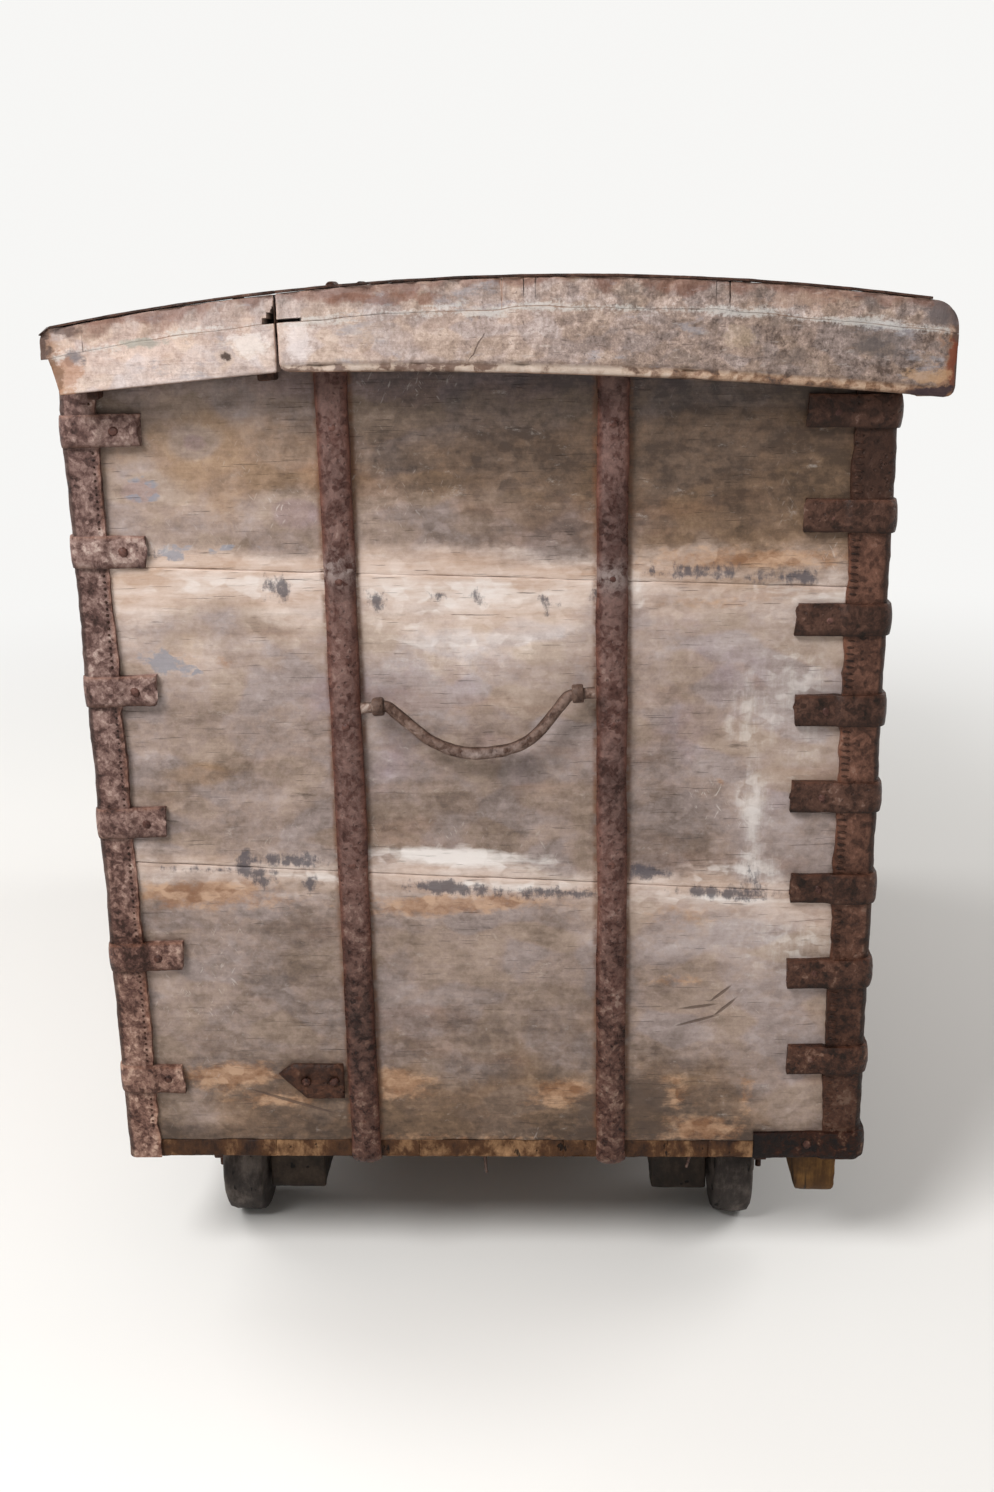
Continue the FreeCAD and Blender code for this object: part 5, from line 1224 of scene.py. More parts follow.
low, high = corners("left_end_straps")
end_offsets = (low[1] + STRAP_HALF, high[1] - STRAP_HALF)
low, high = corners("front_straps")
long_offsets = (low[0] + STRAP_HALF, -0.15, 0.15, high[0] - STRAP_HALF)
straps("left_end_straps", (-1, 0, 0), end_offsets, 400)
straps("right_end_straps", (1, 0, 0), end_offsets, 430)
straps("front_straps", (0, -1, 0), long_offsets, 460)
straps("rear_straps", (0, 1, 0), long_offsets, 520)

# %% [markdown]
# A thin angle iron covers each corner, and short clasps are bent over it. They could be made
# apart, but the clasps step up where they climb onto the angle iron. So both follow the same
# path in plan: along the end wall, round the corner, along the front or rear wall. The irons'
# edges are nibbled, and the clasps' ends are torn.

# %% Corner irons and clasps
IRON = 0.0025
CORNER_BEND = 0.006


def corner_path(along, across, leg_end, leg_long, rise, stand, step=0.003):
    """Places round a corner in plan, with the way each one faces; rise lifts a place off the wood,
    and stand lifts the whole leg on the long wall."""
    corner = np.array([HALF_LENGTH * along, FRONT if across < 0 else REAR])
    on_end = np.array([along, 0.0])
    on_long = np.array([0.0, across])
    bend = CORNER_BEND
    places, facing = [], []
    for inward in np.linspace(leg_end, bend - stand, max(2, round(leg_end / step))):
        places.append(corner - on_long * inward + on_end * rise(inward))
        facing.append(on_end)
    centre = corner - on_long * (bend - stand) - on_end * bend
    for angle in np.linspace(0, math.pi / 2, 8)[1:-1]:
        direction = on_end * math.cos(angle) + on_long * math.sin(angle)
        places.append(centre + direction * (bend + rise(bend)))
        facing.append(direction)
    for inward in np.linspace(bend, leg_long, max(2, round(leg_long / step))):
        places.append(corner - on_end * inward + on_long * (rise(inward) + stand))
        facing.append(on_long)
    return np.array(places), np.array(facing)


def angle_iron(along, across, leg, stand, top, seed):
    """The thin iron up one corner, with nibbled edges."""
    plan, facing = corner_path(along, across, leg, leg, lambda inward: 0.0, stand, 0.004)
    outer = plan + facing * IRON
    inner = plan - facing * (0.0018 + stand)
    loop = np.concatenate([outer, inner[::-1]])
    count = len(plan)
    heights = np.arange(FLOOR_BOTTOM, top, 0.006)
    rings = np.array([np.column_stack([loop, np.full(len(loop), height)]) for height in heights])
    for tip, direction, offset in ((0, np.array([0.0, -across]), 0), (count - 1, np.array([-along, 0.0]), 5)):
        line = np.column_stack([heights * 0, heights * 0 + offset, heights])
        nibble = 0.0013 * cloud(line, 0.014, seed + offset)
        for index in (tip, 2 * count - 1 - tip):
            rings[:, index, :2] += nibble[:, None] * direction
    points, faces = loft(rings)
    dent = 0.0006 * cloud(points, 0.03, seed + 1) + 0.0003 * cloud(points, 0.006, seed + 2, 2)
    points[:, 0] += dent * along
    points[:, 1] += dent * across
    edge = np.zeros((len(heights), 2 * count))
    edge[:, [0, count - 1]] = 1.0
    # Painted shade round the bend of the corner, and darker near the top of the front irons, partly grease
    # and partly painted shade of the lid.
    bent = np.zeros((len(heights), 2 * count))
    turning = np.abs(facing).max(1) < 0.97
    bent[:, :count][:, turning] = 0.8
    lid_shade_and_grease = 0.95 * np.clip((heights - 0.7) / 0.06, 0, 1) * (across < 0)
    bent = np.maximum(bent, lid_shade_and_grease[:, None])
    return points, faces, {"edge": np.append(edge, (0, 0)), "under": np.append(bent, (0, 0))}


def clasp(along, across, iron_leg, leg, stand, height, half, edge, crown, seed):
    """A short strap bent over the angle iron at one height, with torn ends."""
    def rise(inward):
        return IRON * float(np.clip((iron_leg + 0.0045 - inward) / 0.004, 0, 1))

    torn = 0.004 * np.array(cloud(np.array([[seed * 0.37, 0, 0], [0, seed * 0.53, 0]]), 0.2, seed))
    plan, out = corner_path(along, across, leg + torn[0], leg + torn[1], rise, stand)
    count = len(plan)
    tip = 0.0025 * cloud(np.array([[seed * 0.11, height, 0.0]]), 0.1, seed + 3)[0]
    level = height + np.linspace(tip, -tip, count)
    places = np.column_stack([plan, level])
    facing = np.column_stack([out, np.zeros(count)])
    side = np.tile([0.0, 0.0, 1.0], (count, 1))
    edges, crowns = np.full(count, edge), np.full(count, crown)
    points, faces, marks = bar_along(places, facing, side, half, edges, crowns, seed, 0.0004)
    ring = (len(points) - 2) // count
    tears = 0.003 * cloud(points, (0.5, 0.5, 0.006), seed + 5, 2)
    inward_end = np.array([0.0, -across, 0.0])
    inward_long = np.array([-along, 0.0, 0.0])
    for rows, direction in ((range(0, 2), inward_end), (range(count - 2, count), inward_long)):
        for row in rows:
            part = slice(row * ring, (row + 1) * ring)
            points[part] += tears[part][:, None] * direction
    # Painted shade along the clasp's lower edge.
    shadow = np.zeros(ring)
    shadow[:4] = (1.0, 0.8, 0.4, 0.1)
    marks["under"] = np.append(np.tile(shadow, count), (0, 0))
    return points, faces, marks


FRONT_CLASPS = (0.234, 0.3214, 0.4039, 0.4903, 0.5697, 0.6501, 0.7386, 0.825)
REAR_CLASPS = (0.213, 0.337, 0.469, 0.592, 0.716, 0.818)
CLASP_HALF = 0.0138
SHOE_LEG = 0.098
corner_kinds = {
    "front": (-1, 0.032, 0.072, FRONT_CLASPS, 0.003, 0.0052, (0.002, 0.0008), (FRONT_IRON, CLASP_IRON)),
    "rear": (1, 0.026, 0.06, REAR_CLASPS, 0.0028, 0.0042, (0.0035, 0.0015), (REAR_IRON, REAR_IRON)),
}
for kind, (across, iron_leg, leg, heights, edge, crown, stands, finishes) in corner_kinds.items():
    shapes = []
    for number, along in enumerate((-1, 1)):
        end = "left" if along < 0 else "right"
        node = f"{kind}_{end}_corner_iron"
        top = corners(node)[1][2]
        shape = angle_iron(along, across, iron_leg, stands[0], top, 600 + 40 * number + (across + 1) * 10)
        add_piece(f"forged_{node}", shape, finishes[0], "chest", "rusty_strap_iron", node)
        for index, height in enumerate(heights):
            seed = 700 + 31 * number + 3 * index + (across + 1) * 50
            shapes.append(clasp(along, across, iron_leg, leg, stands[1], height, CLASP_HALF, edge, crown,
                                seed))
    node = f"{kind}_clasps"
    add_piece(f"forged_{node}", joined(shapes), finishes[1], "chest", "rusty_strap_iron", node)

low, high = corners("front_shoes")
shoe_middle, shoe_half = (low[2] + high[2]) / 2, (high[2] - low[2]) / 2
shoes = [clasp(along, -1, 0.032, SHOE_LEG, 0.002, shoe_middle, shoe_half, 0.003, 0.0046, 870 + along)
         for along in (-1, 1)]
add_piece("forged_front_shoes", joined(shoes), SHOE_IRON, "chest", "rusty_strap_iron", "front_shoes")

# %% [markdown]
# Wheels are turned from one block of wood. A Screw modifier could spin the profile, but it
# leaves a seam to merge. So the profile, a closed ring of (distance from the axle, place along
# it), is lofted round the axle into a ring without seam or poles, and noise bruises the rim.

# %% Wheels
def turned_wheel(node, seed):
    low, high = corners(node)
    centre = (low + high) / 2
    radius = (high[2] - low[2]) / 2
    hub_half = (high[1] - low[1]) / 2
    rim_half, hub, bore = 0.0205, 0.026, 0.0101
    profile = [(bore, -hub_half), (hub - 0.004, -hub_half), (hub, -hub_half + 0.003),
               (hub + 0.003, -rim_half - 0.0015), (hub + 0.012, -rim_half), (0.046, -rim_half + 0.002),
               (radius - 0.006, -rim_half + 0.001), (radius - 0.0015, -rim_half + 0.004),
               (radius, -rim_half + 0.01), (radius, 0.0)]
    profile += [(reach, -offset) for reach, offset in reversed(profile[:-1])]
    profile = np.array(profile)
    rings = []
    for angle in turn_angles(96):
        reach, place = profile[:, 0], profile[:, 1]
        rings.append(np.column_stack([reach * math.cos(angle), place, reach * math.sin(angle)]))
    points, faces = loft(np.array(rings), closed=True)
    away = np.hypot(points[:, 0], points[:, 2])
    dent = 0.0011 * cloud(points, 0.022, seed) + 0.0006 * cloud(points, 0.008, seed + 1, 2) - 0.001
    scale = 1 + np.where(away > 0.04, np.clip(dent, -1, 0), 0) / away
    points[:, [0, 2]] *= scale[:, None]
    return points + centre, faces, {}


for seed, node in enumerate(("front_left_wheel", "front_right_wheel", "rear_left_wheel", "rear_right_wheel")):
    add_piece(f"turned_{node}", turned_wheel(node, 900 + 4 * seed), WHEEL_WOOD, node, "wheel_wood", node)

# %% [markdown]
# The bail handle is one bar drawn along a walk: straight through its eye, a tight bend down, a
# short straight, a wide sweep and back up again. A Bezier curve could trace it, but runs and
# bends are what a smith measures, so the walk is a list of those. The bar is thickest where
# the hand holds it. The eyes are small thick rings on a shank that is driven into the plank.

# %% Handles
HANDLE_TILT = math.radians(3.4)
BAR = 0.005


def walk(start, heading, moves, step=0.002):
    """Points along straight runs (length, 0) and bends (radius, degrees) in a plane."""
    place = np.array(start, float)
    points = [place.copy()]
    for amount, turn in moves:
        if turn == 0:
            direction = np.array([math.cos(heading), math.sin(heading)])
            count = max(1, round(amount / step))
            for _ in range(count):
                place = place + direction * amount / count
                points.append(place.copy())
            continue
        sweep = math.radians(turn)
        count = max(3, round(abs(sweep) * amount / step))
        for _ in range(count):
            chord = 2 * amount * math.sin(abs(sweep) / count / 2)
            heading += sweep / count / 2
            place = place + chord * np.array([math.cos(heading), math.sin(heading)])
            heading += sweep / count / 2
            points.append(place.copy())
    return np.array(points)


def tube(path, radii, seed, count=14, side=-1):
    """A forged round bar along a path of points, with a painted highlight on the side that faces out along X
    and painted shade along its top and bottom.
    """
    rings = []
    ahead = np.gradient(path, axis=0)
    ahead /= np.linalg.norm(ahead, axis=1, keepdims=True)
    aside = np.array([1.0, 0.0, 0.0])
    angles = turn_angles(count)
    for place, direction, radius in zip(path, ahead, radii):
        other = np.cross(direction, aside)
        rings.append(place + radius * (np.outer(np.cos(angles), aside) + np.outer(np.sin(angles), other)))
    points, faces = loft(np.array(rings))
    points = points + (0.0004 * cloud(points, 0.008, seed))[:, None] * np.array([1.0, 0.3, 0.7])
    # Painted highlight on the outer side, painted shade on the top and bottom.
    outward = np.append(np.tile(side * np.cos(angles), len(rings)), (0, 0))
    return points, faces, {"edge": np.zeros(len(points)), "proud": np.clip(outward, 0, 1) ** 3,
                           "under": np.clip(1.1 - 1.7 * np.abs(outward), 0, 1)}


def handle_frame(points, axis_place):
    """Moves points from the handle's own plane (0, along, up) to its place on an end."""
    turn = np.array(Matrix.Rotation(-HANDLE_TILT, 3, "X"))
    return points @ turn.T + axis_place


axis_places = {joint["name"]: np.array(joint["pos_m"]) for joint in frame["joints"]}
TAIL_END, EYE_MIDDLE, BEND_START = 0.102, 0.087, 0.0823
LEG, SWEEP, HANDLE_BEND = 0.0336, 0.0748, 0.008
moves = [(TAIL_END - BEND_START, 0), (HANDLE_BEND, 45), (LEG, 0), (SWEEP, -90), (LEG, 0), (HANDLE_BEND, 45),
         (TAIL_END - BEND_START, 0)]
flat = walk((TAIL_END, 0.0), math.pi, moves)
print("bail walk ends at", flat[-1].round(4), "lowest", flat[:, 1].min().round(4))


def bail(side, seed):
    """One handle on its axis at an end of the chest."""
    joint = axis_places["left_handle_swing" if side < 0 else "right_handle_swing"]
    sag = 0.0042 * hill(flat[:, 0] + 0.048, 0.026)
    path = np.column_stack([np.zeros(len(flat)), flat[:, 0], flat[:, 1] - sag])
    path = handle_frame(path, joint)
    from_middle = np.abs(flat[:, 0])
    radii = BAR * (1.0 + 0.1 * hill(from_middle, 0.03))
    points, faces, marks = tube(path, radii, seed, side=side)
    # The painted highlight is strongest in the middle of the bar.
    middle_highlight = np.repeat(hill(from_middle, 0.035), (len(points) - 2) // len(path))
    middle_highlight = np.append(middle_highlight, (0, 0))
    marks["proud"] *= 0.25 + 0.75 * middle_highlight
    return points, faces, marks


def eye(side, end):
    """A small thick ring round the handle's tail, with a shank into the plank."""
    joint = axis_places["left_handle_swing" if side < 0 else "right_handle_swing"]
    half = [(0.0053, 0.0042), (0.006, 0.005), (0.0072, 0.005), (0.0081, 0.0038)]
    section = np.array([(away, -place) for away, place in half] + [(0.0083, 0.0)] + half[::-1])
    rings = np.array([np.column_stack([section[:, 0] * math.cos(a), section[:, 1] + end * EYE_MIDDLE,
                                       section[:, 0] * math.sin(a)]) for a in turn_angles(28)])
    points, faces = loft(rings, closed=True)
    points = handle_frame(points, joint)
    root = handle_frame(np.array([[0.0, end * EYE_MIDDLE, 0.0]]), joint)[0]
    run = np.linspace(0.0068, 0.03, 8)
    shank_path = root + np.outer(run, [-side, 0.0, 0.0])
    turn = turn_angles(10)
    circle = 0.0039 * np.column_stack([0 * turn, np.cos(turn), np.sin(turn)])
    shank, shank_faces = loft(np.array([place + circle for place in shank_path]))
    # The under mark darkens the eye rings all over, as a darker tone of the iron.
    ring_shape = (points, faces, {"edge": np.zeros(len(points)), "under": np.full(len(points), 0.4)})
    plain = np.zeros(len(shank))
    return joined([ring_shape, (shank, shank_faces, {"edge": plain, "under": plain})])


for seed, (side, end) in enumerate(((-1, "left"), (1, "right"))):
    node = f"{end}_handle"
    add_piece(f"forged_{node}", bail(side, 950 + seed), HANDLE_IRON, node, "handle_iron", node)
eyes = [eye(side, end) for side in (-1, 1) for end in (-1, 1)]
add_piece("forged_handle_eyes", joined(eyes), HANDLE_IRON, "chest", "handle_iron", "handle_eyes")

# %% [markdown]
# Brackets and axle blocks are plain lumps of wood, sawn roughly, and the brackets are rounded
# below. A cube with a Bevel modifier would do for the shape, but the gridded box takes dents
# as well. So each lump is one, as big as the solid that it covers.

# %% Brackets and axle blocks
def lump(low, high, radius, seed, round_below=0.0):
    """A sawn block between two corners; round_below is the radius of its lower edges."""
    size = high - low
    points, faces = grid_box(*[(length, 0.004, 0.003) for length in size])
    worn, facing = rounded(points, size, radius)
    for axis, flip in itertools.product((0, 1), (False, True)) if round_below else ():
        pair = np.stack([size[axis] - worn[:, axis] if flip else worn[:, axis], worn[:, 2]], 1)
        pair = pulled_round(pair, round_below)
        worn[:, axis] = size[axis] - pair[:, 0] if flip else pair[:, 0]
        worn[:, 2] = pair[:, 1]
    dent = 0.0007 * cloud(points, 0.03, seed) + 0.0004 * cloud(points, 0.008, seed + 1, 2)
    worn += facing * dent[:, None]
    return low + worn, faces, {"edge": bared(facing)}


def islands(node):
    """The separate solids of a CAD node, each as an array of its points."""
    work = bmesh.new()
    work.from_mesh(frame["nodes"][node].data)
    bmesh.ops.remove_doubles(work, verts=work.verts, dist=1e-6)
    left = set(work.verts)
    found = []
    while left:
        queue = [left.pop()]
        group = []
        while queue:
            vertex = queue.pop()
            group.append(tuple(vertex.co))
            for link in vertex.link_edges:
                other = link.other_vert(vertex)
                if other in left:
                    left.remove(other)
                    queue.append(other)
        found.append(np.array(group))
    work.free()
    return sorted(found, key=lambda group: tuple(group.mean(0).round(4)))


blocks = [lump(group.min(0), group.max(0), 0.0025, 980 + number)
          for number, group in enumerate(islands("axle_blocks"))]
add_piece("sawn_axle_blocks", joined(blocks), SHADED_BLOCK_WOOD, "chest", "floor_wood", "axle_blocks")
brackets = [lump(group.min(0), group.max(0), 0.003, 990 + number, 0.013)
            for number, group in enumerate(islands("front_brackets"))]
add_piece("rounded_front_brackets", joined(brackets), BRACKET_WOOD, "chest", "bracket_wood", "front_brackets")

# %% [markdown]
# The rest of the ironwork keeps its CAD outline: plates, hinge leaves with their knuckles,
# hasp and staple. They could be modelled again, but their holes have to fit their pins. So
# each is copied from the frame, gets a small bevel, is cut up finely and dented like hammered
# plate. The edge irons are also bent over the rounded ends of the top.

# %% Plates, hinges and hasp
def bent_over(places, start, radius, way):
    """Points of an iron on the arch, bent down past a start over a rounded end; way is -1 for the front."""
    lean = (start - CROWN) / ARCH_RADIUS
    out = np.array([lean, math.sqrt(1 - lean ** 2)])
    onward = way * np.array([out[1], -out[0]])
    centre = np.array([start, arch(start)]) - radius * out
    angle = np.clip(way * (places[:, 1] - start) / radius, 0, None)[:, None]
    reach = radius + (places[:, 2] - arch(places[:, 1]))[:, None]
    bent = centre + reach * (np.cos(angle) * out + np.sin(angle) * onward)
    return np.column_stack([places[:, 0], np.where(angle > 0, bent, places[:, 1:])])


def over_nose(places):
    return bent_over(places, LID_FRONT + NOSE, NOSE, -1)


def over_heel(places):
    return bent_over(places, REAR_TOP_END - HEEL, HEEL, 1)


PLATE_BEVEL = 0.0006
PLATE_DENT = 0.0003
LONGEST_EDGE = 0.012


def hammered(node, body, finish, slot, bend=None):
    """A plate copied from the frame, with broken edges and dents; bend moves its points at the end."""
    name = f"hammered_{node}"
    mesh = frame["nodes"][node].data.copy()
    mesh.name = name
    work = bmesh.new()
    work.from_mesh(mesh)
    bmesh.ops.remove_doubles(work, verts=work.verts, dist=1e-6)
    bmesh.ops.dissolve_limit(work, angle_limit=math.radians(1), verts=work.verts, edges=work.edges)
    sharp = [edge for edge in work.edges if len(edge.link_faces) == 2 and edge.calc_face_angle() > 0.6]
    bmesh.ops.bevel(work, geom=sharp, offset=PLATE_BEVEL, segments=2, affect="EDGES", clamp_overlap=True)
    bmesh.ops.triangulate(work, faces=work.faces)
    for _ in range(4):
        long_edges = [edge for edge in work.edges if edge.calc_length() > LONGEST_EDGE]
        if not long_edges:
            break
        bmesh.ops.subdivide_edges(work, edges=long_edges, cuts=1)
        bmesh.ops.triangulate(work, faces=work.faces)
    work.normal_update()
    places = np.array([tuple(vertex.co) for vertex in work.verts])
    dents = cloud(places, 0.012, len(name)) + 0.5 * cloud(places, 0.004, len(name) + 1, 2)
    for vertex, push in zip(work.verts, PLATE_DENT * dents):
        vertex.co += vertex.normal * float(push)
    if bend:
        places = np.array([tuple(vertex.co) for vertex in work.verts])
        for vertex, place in zip(work.verts, bend(places)):
            vertex.co = place
    bmesh.ops.recalc_face_normals(work, faces=work.faces)
    work.to_mesh(mesh)
    work.free()
    mesh.shade_smooth()
    mesh.set_sharp_from_angle(angle=math.radians(40))
    set_piece(name, mesh, finish, body, slot, node)


hammered("mending_plate", "chest", DARK_IRON, "rusty_strap_iron")
for node, body in (("lock_plate", "chest"), ("lock_staple", "chest"), ("hasp_plate", "lid"), ("hasp", "hasp"),
                   ("lid_hinge_leaves", "lid"), ("rear_hinge_leaves", "chest")):
    hammered(node, body, DARK_IRON, "dark_iron")
hammered("lid_edge_straps", "lid", CLASP_IRON, "dark_iron", over_nose)
hammered("rear_edge_straps", "chest", CLASP_IRON, "dark_iron", over_heel)

# %% [markdown]
# Some solids are right as they are: pins, the rail and the battens. They hardly show, so a
# new mesh would add nothing. They stay, with a better material in their slot.

# %% Solids that stay
stays = {
    "hinge_pins": DARK_IRON, "hasp_pin": DARK_IRON, "axle_pins": DARK_IRON, "linch_pins": DARK_IRON,
    "hinge_rail": FLOOR_WOOD, "lid_battens": FLOOR_WOOD,
}
for node, finish in stays.items():
    slots = frame["nodes"][node].material_slots
    for place in slots:
        place.link = "OBJECT"
        place.material = finish
    print(node, "keeps its CAD shape in", finish.name)

# %% [markdown]
# Nails repeat. They could be placed one by one, but Geometry Nodes can scatter them all. The
# points come from the frame: one for each nail solid, with the way its head faces. The tree
# sets a hammered head of its own size on every point, and the result becomes a plain mesh,
# because the export drops instances.

# %% Nail heads
LEAST_HEAD, LARGEST_HEAD = (0.82, 0.82, 0.7), (1.15, 1.15, 1.25)


def scatter_tree(name, finish, segments):
    """A tree that sets flattened heads on points; the marks facing and lying turn them."""
    tree = bpy.data.node_groups.new(name, "GeometryNodeTree")
    for title, kind in (("Points", "Geometry"), ("Head size", "Vector"), ("Seed", "Int")):
        tree.interface.new_socket(title, in_out="INPUT", socket_type=f"NodeSocket{kind}")
    tree.interface.new_socket("Heads", in_out="OUTPUT", socket_type="NodeSocketGeometry")
    recipe = Recipe(tree)

    def add(kind, inputs, **settings):
        return recipe.node(kind, inputs, **settings).outputs[0]

    entry = recipe.node("NodeGroupInput").outputs
    facing = add("GeometryNodeInputNamedAttribute", {"Name": "facing"}, data_type="FLOAT_VECTOR")
    lying = add("GeometryNodeInputNamedAttribute", {"Name": "lying"}, data_type="FLOAT_VECTOR")
    turn = add("FunctionNodeAlignRotationToVector", {"Vector": facing}, axis="Z")
    turn = add("FunctionNodeAlignRotationToVector", {"Rotation": turn, "Vector": lying},
               axis="X", pivot_axis="Z")
    size = add("FunctionNodeRandomValue", {0: LEAST_HEAD, 1: LARGEST_HEAD, "Seed": entry["Seed"]},
               data_type="FLOAT_VECTOR")
    ball = add("GeometryNodeMeshUVSphere", {"Segments": segments, "Rings": 5, "Radius": 1.0})
    head = add("GeometryNodeTransform", {"Geometry": ball, "Scale": entry["Head size"]})
    heads = add("GeometryNodeInstanceOnPoints",
                {"Points": entry["Points"], "Instance": head, "Rotation": turn, "Scale": size})
    solid = add("GeometryNodeRealizeInstances", {0: heads})
    coated = add("GeometryNodeSetMaterial", {"Geometry": solid, "Material": finish})
    recipe.node("NodeGroupOutput", {"Heads": coated})
    return tree


def scattered(name, tree, places, facings, lyings, settings, finish, body, slot, *nodes):
    """Runs a tree over points and keeps the result as one plain mesh."""
    mesh = bpy.data.meshes.new(name + "_points")
    mesh.from_pydata([tuple(place) for place in places], [], [])
    for mark, values in (("facing", facings), ("lying", lyings)):
        marks = mesh.attributes.new(mark, "FLOAT_VECTOR", "POINT")
        marks.data.foreach_set("vector", np.asarray(values, np.float32).ravel())
    carrier = placed(name + "_points", mesh)
    modifier = carrier.modifiers.new("scatter", "NODES")
    modifier.node_group = tree
    for socket in tree.interface.items_tree:
        if socket.in_out == "INPUT" and socket.name in settings:
            modifier[socket.identifier] = settings[socket.name]
    graph = bpy.context.evaluated_depsgraph_get()
    solid = bpy.data.meshes.new_from_object(carrier.evaluated_get(graph))
    bpy.data.objects.remove(carrier)
    solid.name = name
    solid.shade_smooth()
    set_piece(name, solid, finish, body, slot, *nodes)


def nail_places(node):
    """Where each nail's head is, and which way it faces, read from the CAD nails."""
    places, facings = [], []
    for group in islands(node):
        middle = group.mean(0)
        axis = np.linalg.svd(group - middle)[2][0]
        reach = (group - middle) @ axis
        wide = np.linalg.norm((group - middle) - np.outer(reach, axis), axis=1)
        if wide[reach > 0].max() < wide[reach < 0].max():
            axis, reach = -axis, -reach
        places.append(middle + axis * (reach.max() - (0.0052 if axis[2] > 0.5 else 0.0022)))
        facings.append(axis)
    return np.array(places), np.array(facings)


nail_tree = scatter_tree("hammered nail heads", STRAP_IRON, 8)
head = {"Head size": (0.0046, 0.0046, 0.0024), "Seed": 4}
for node, body in (("body_nails", "chest"), ("lid_nails", "lid")):
    places, facings = nail_places(node)
    lyings = np.cross(facings, (0.31, 0.47, 0.83))
    scattered(f"forged_{node}", nail_tree, places, facings, lyings, head, STRAP_IRON, body, "dark_iron", node)

# %% [markdown]
# The smith punched a row of ticks along the inner edges of the corner irons. A bump pattern
# would run on under the clasps, so they are the same scatter with a flatter, longer shape:
# dashes on the front irons, dots on the rear ones.

# %% Punched edges
TICK_PITCH = 0.0058


def punch_places(across, iron_leg, stand, clasp_heights, top):
    """Points up both legs of a pair of corner irons, left out where a clasp covers them."""
    places, facings, lyings = [], [], []
    corner_y = FRONT if across < 0 else REAR
    for along in (-1, 1):
        for on_end in (True, False):
            inset = iron_leg - 0.0052
            for height in np.arange(FLOOR_BOTTOM + 0.034, top - 0.004, TICK_PITCH):
                if np.abs(np.array(clasp_heights) - height).min() < 0.017:
                    continue
                if on_end:
                    places.append((along * (HALF_LENGTH + IRON), corner_y - across * inset, height))
                    facings.append((along, 0.0, 0.0))
                    lyings.append((0.0, 1.0, 0.12))
                else:
                    places.append((along * (HALF_LENGTH - inset), corner_y + across * (IRON + stand), height))
                    facings.append((0.0, across, 0.0))
                    lyings.append((1.0, 0.0, 0.12))
    return np.array(places), np.array(facings), np.array(lyings)


for kind, size in (("front", (0.0042, 0.0011, 0.0009)), ("rear", (0.0014, 0.0013, 0.0009))):
    across, iron_leg, _, heights, _, _, stands, _ = corner_kinds[kind]
    top = corners(f"{kind}_left_corner_iron")[1][2]
    tick_tree = scatter_tree(f"punched {kind} ticks", DARK_IRON, 6)
    scattered(f"punched_{kind}_ticks", tick_tree, *punch_places(across, iron_leg, stands[0], heights, top),
              {"Head size": size, "Seed": 9}, DARK_IRON, "chest", "dark_iron")

# %% [markdown]
# Odds and ends that the years have left: bent nails that stick out under the floor, and two
# small iron tabs under the fixed rear fascia. They are too few for a scatter, so the bar of
# the handle and the lump of the bracket make them.

# %% Bent nails and tabs
def bent_nail(place, length, lean):
    steps = np.linspace(0, 1, 9)
    path = np.array(place) + np.column_stack([0 * steps, lean * steps ** 2, -length * steps])
    return tube(path, 0.0022 - 0.0009 * steps, 1001, 8)


nails_below = [bent_nail((-0.55, 0.03, FLOOR_BOTTOM + 0.004), 0.03, -0.002),
               bent_nail((-0.552, -0.168, FLOOR_BOTTOM + 0.004), 0.022, 0.003)]
add_piece("bent_floor_nails", joined(nails_below), STRAP_IRON, "chest", "rusty_strap_iron")
tab_low = np.array([-0.583, 0.0, -0.006])
tab_high = np.array([-0.566, 0.0, 0.002])
tabs = []
for number, (y, width) in enumerate(((0.338, 0.009), (0.193, 0.014))):
    base = np.array([0.0, y, float(rear_fascia_edge(y))])
    half = np.array([0.0, width / 2, 0.0])
    tabs.append(lump(base + tab_low - half, base + tab_high + half, 0.0012, 1010 + number))
add_piece("rear_fascia_tabs", joined(tabs), DARK_IRON, "chest", "dark_iron")

# %% [markdown]
# The chest stands on a plain pale floor in soft light. One large lamp hangs high on the
# camera's left, which shades the end under the lid and picks out the cupped planks, and weaker
# lamps keep the other sides readable. A bright world could light it all, but would flatten
# the relief. The floor fades to paper white only for rays that show the background, so that
# white adds no light to the chest.

# %% Floor, light and camera
PAPER = (0.93, 0.925, 0.91)
FLOOR_REACH = 9
FADE_START, FADE_END = 0.9, 3.2


def seen_rays(recipe):
    """1 for rays that show the background: from the camera, or through a reflection or glass."""
    rays = recipe.node("ShaderNodeLightPath").outputs
    return recipe.most(rays["Is Camera Ray"], rays["Is Glossy Ray"], rays["Is Transmission Ray"])


def pale_floor_finish():
    floor = Finish("pale floor")
    ground = floor.node("ShaderNodeBsdfPrincipled", {"Base Color": (0.8, 0.785, 0.76), "Roughness": 0.8})
    away = floor.node("ShaderNodeVectorMath", {0: floor.place}, operation="LENGTH").outputs["Value"]
    far = floor.times(floor.step(away, FADE_START, FADE_END), seen_rays(floor))
    glow = floor.node("ShaderNodeEmission", {"Color": PAPER})
    blend = floor.node("ShaderNodeMixShader", {0: far, 1: ground.outputs[0], 2: glow.outputs[0]})
    floor.node("ShaderNodeOutputMaterial", {"Surface": blend.outputs[0]})
    return floor.material


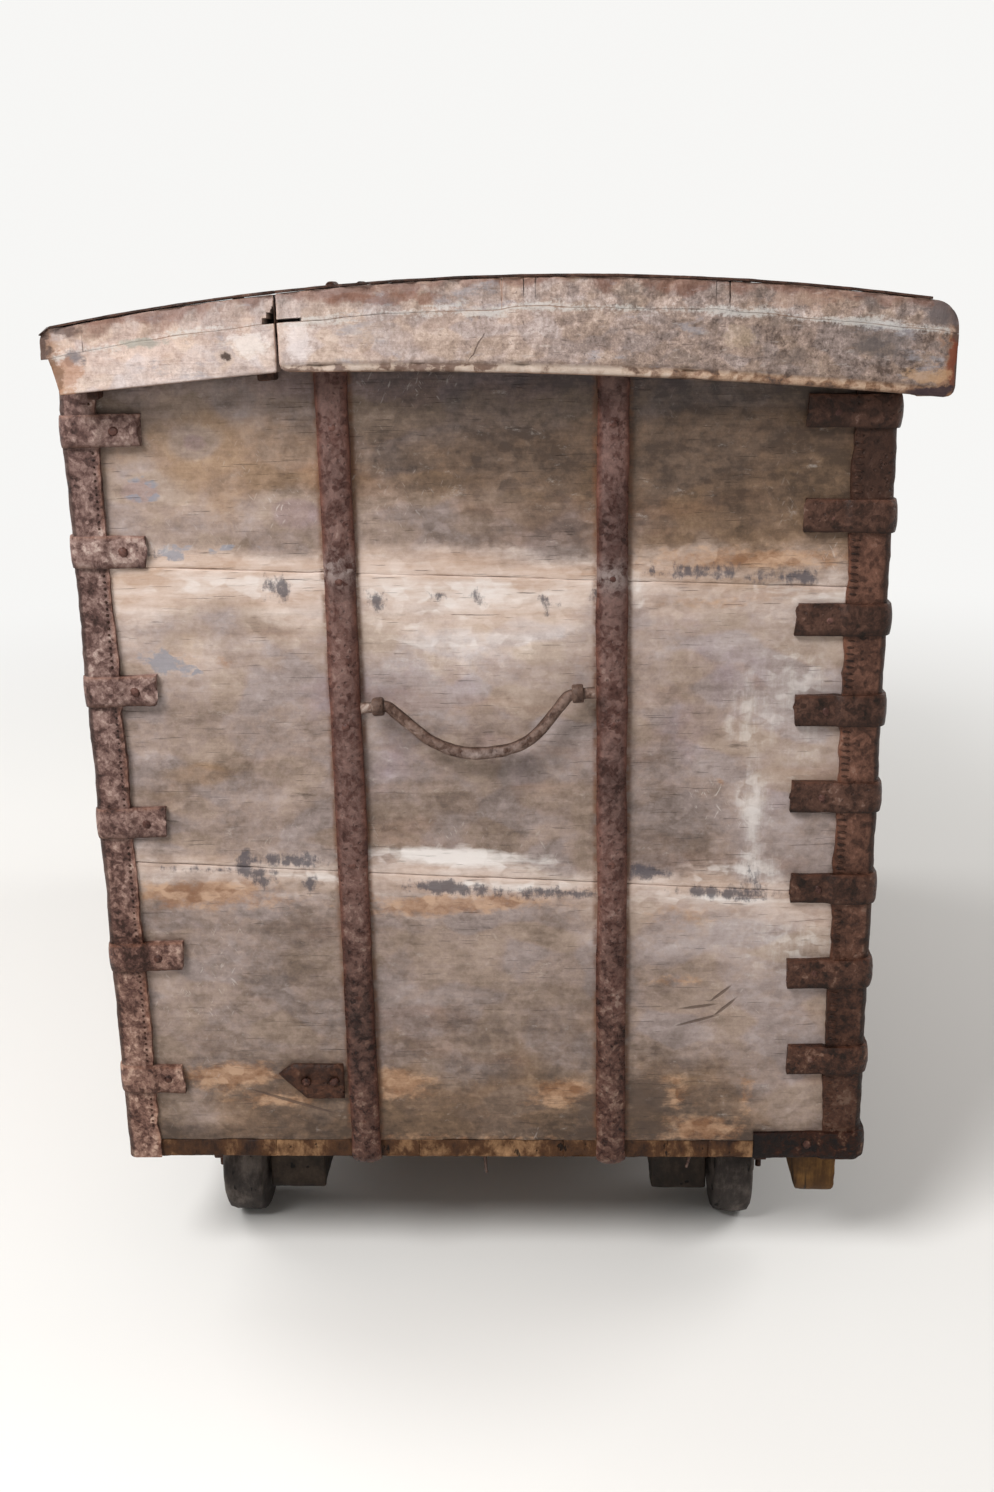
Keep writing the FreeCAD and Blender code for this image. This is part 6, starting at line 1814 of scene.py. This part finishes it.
floor_mesh = bpy.data.meshes.new("studio_floor")
floor_corners = [(x * FLOOR_REACH, y * FLOOR_REACH, 0) for x, y in ((-1, -1), (1, -1), (1, 1), (-1, 1))]
floor_mesh.from_pydata(floor_corners, [], [(0, 1, 2, 3)])
floor_mesh.materials.append(pale_floor_finish())
placed("studio_floor", floor_mesh)


def lamp(name, place, target, size, power):
    light = bpy.data.lights.new(name, "AREA")
    light.shape = "DISK"
    light.size = size
    light.energy = power
    holder = placed(name, light)
    holder.location = place
    holder.rotation_euler = (Vector(target) - Vector(place)).to_track_quat("-Z", "Y").to_euler()


lamp("high lamp", (-2.3, 1.5, 2.9), (-0.4, 0.0, 0.5), 1.5, 118.0)
lamp("front lamp", (0.8, -3.2, 2.4), (0.0, 0.0, 0.5), 2.2, 60.0)
lamp("rear lamp", (1.6, 3.0, 2.6), (0.0, 0.2, 0.5), 2.2, 55.0)

world = bpy.data.worlds.new("soft light")
bpy.context.scene.world = world
world.use_nodes = True
sky = Recipe(world.node_tree)
soft = sky.node("ShaderNodeBackground", {"Color": (1.0, 0.985, 0.96), "Strength": 0.34})
seen = sky.node("ShaderNodeBackground", {"Color": PAPER, "Strength": 1.0})
choose = sky.node("ShaderNodeMixShader", {0: seen_rays(sky), 1: soft.outputs[0], 2: seen.outputs[0]})
sky.node("ShaderNodeOutputWorld", {"Surface": choose.outputs[0]})

CAMERA_PLACE = (-1.8918, -0.04315, 0.9326)
YAW, PITCH, ROLL = math.radians(2.29), math.radians(-16.501), math.radians(-1.057)
FOCAL_PIXELS = 1566.1
PHOTO_HEIGHT = 1492
SENSOR = 36
ahead = Vector((math.cos(YAW) * math.cos(PITCH), math.sin(YAW) * math.cos(PITCH), math.sin(PITCH)))
level = Vector((math.sin(YAW), -math.cos(YAW), 0.0))
above = level.cross(ahead)
right = math.cos(ROLL) * level + math.sin(ROLL) * above
up = -math.sin(ROLL) * level + math.cos(ROLL) * above
camera_data = bpy.data.cameras.new("photo view")
camera_data.lens = FOCAL_PIXELS / PHOTO_HEIGHT * SENSOR
camera_data.sensor_fit = "AUTO"
camera_data.clip_start = 0.05
camera = placed("photo view", camera_data)
turned = Matrix((right, up, -ahead)).transposed().to_4x4()
camera.matrix_world = Matrix.Translation(CAMERA_PLACE) @ turned
bpy.context.scene.camera = camera
bpy.context.scene.view_settings.view_transform = "Standard"
print("camera", tuple(round(v, 3) for v in camera.location), "lens", round(camera_data.lens, 2))

# %% [markdown]
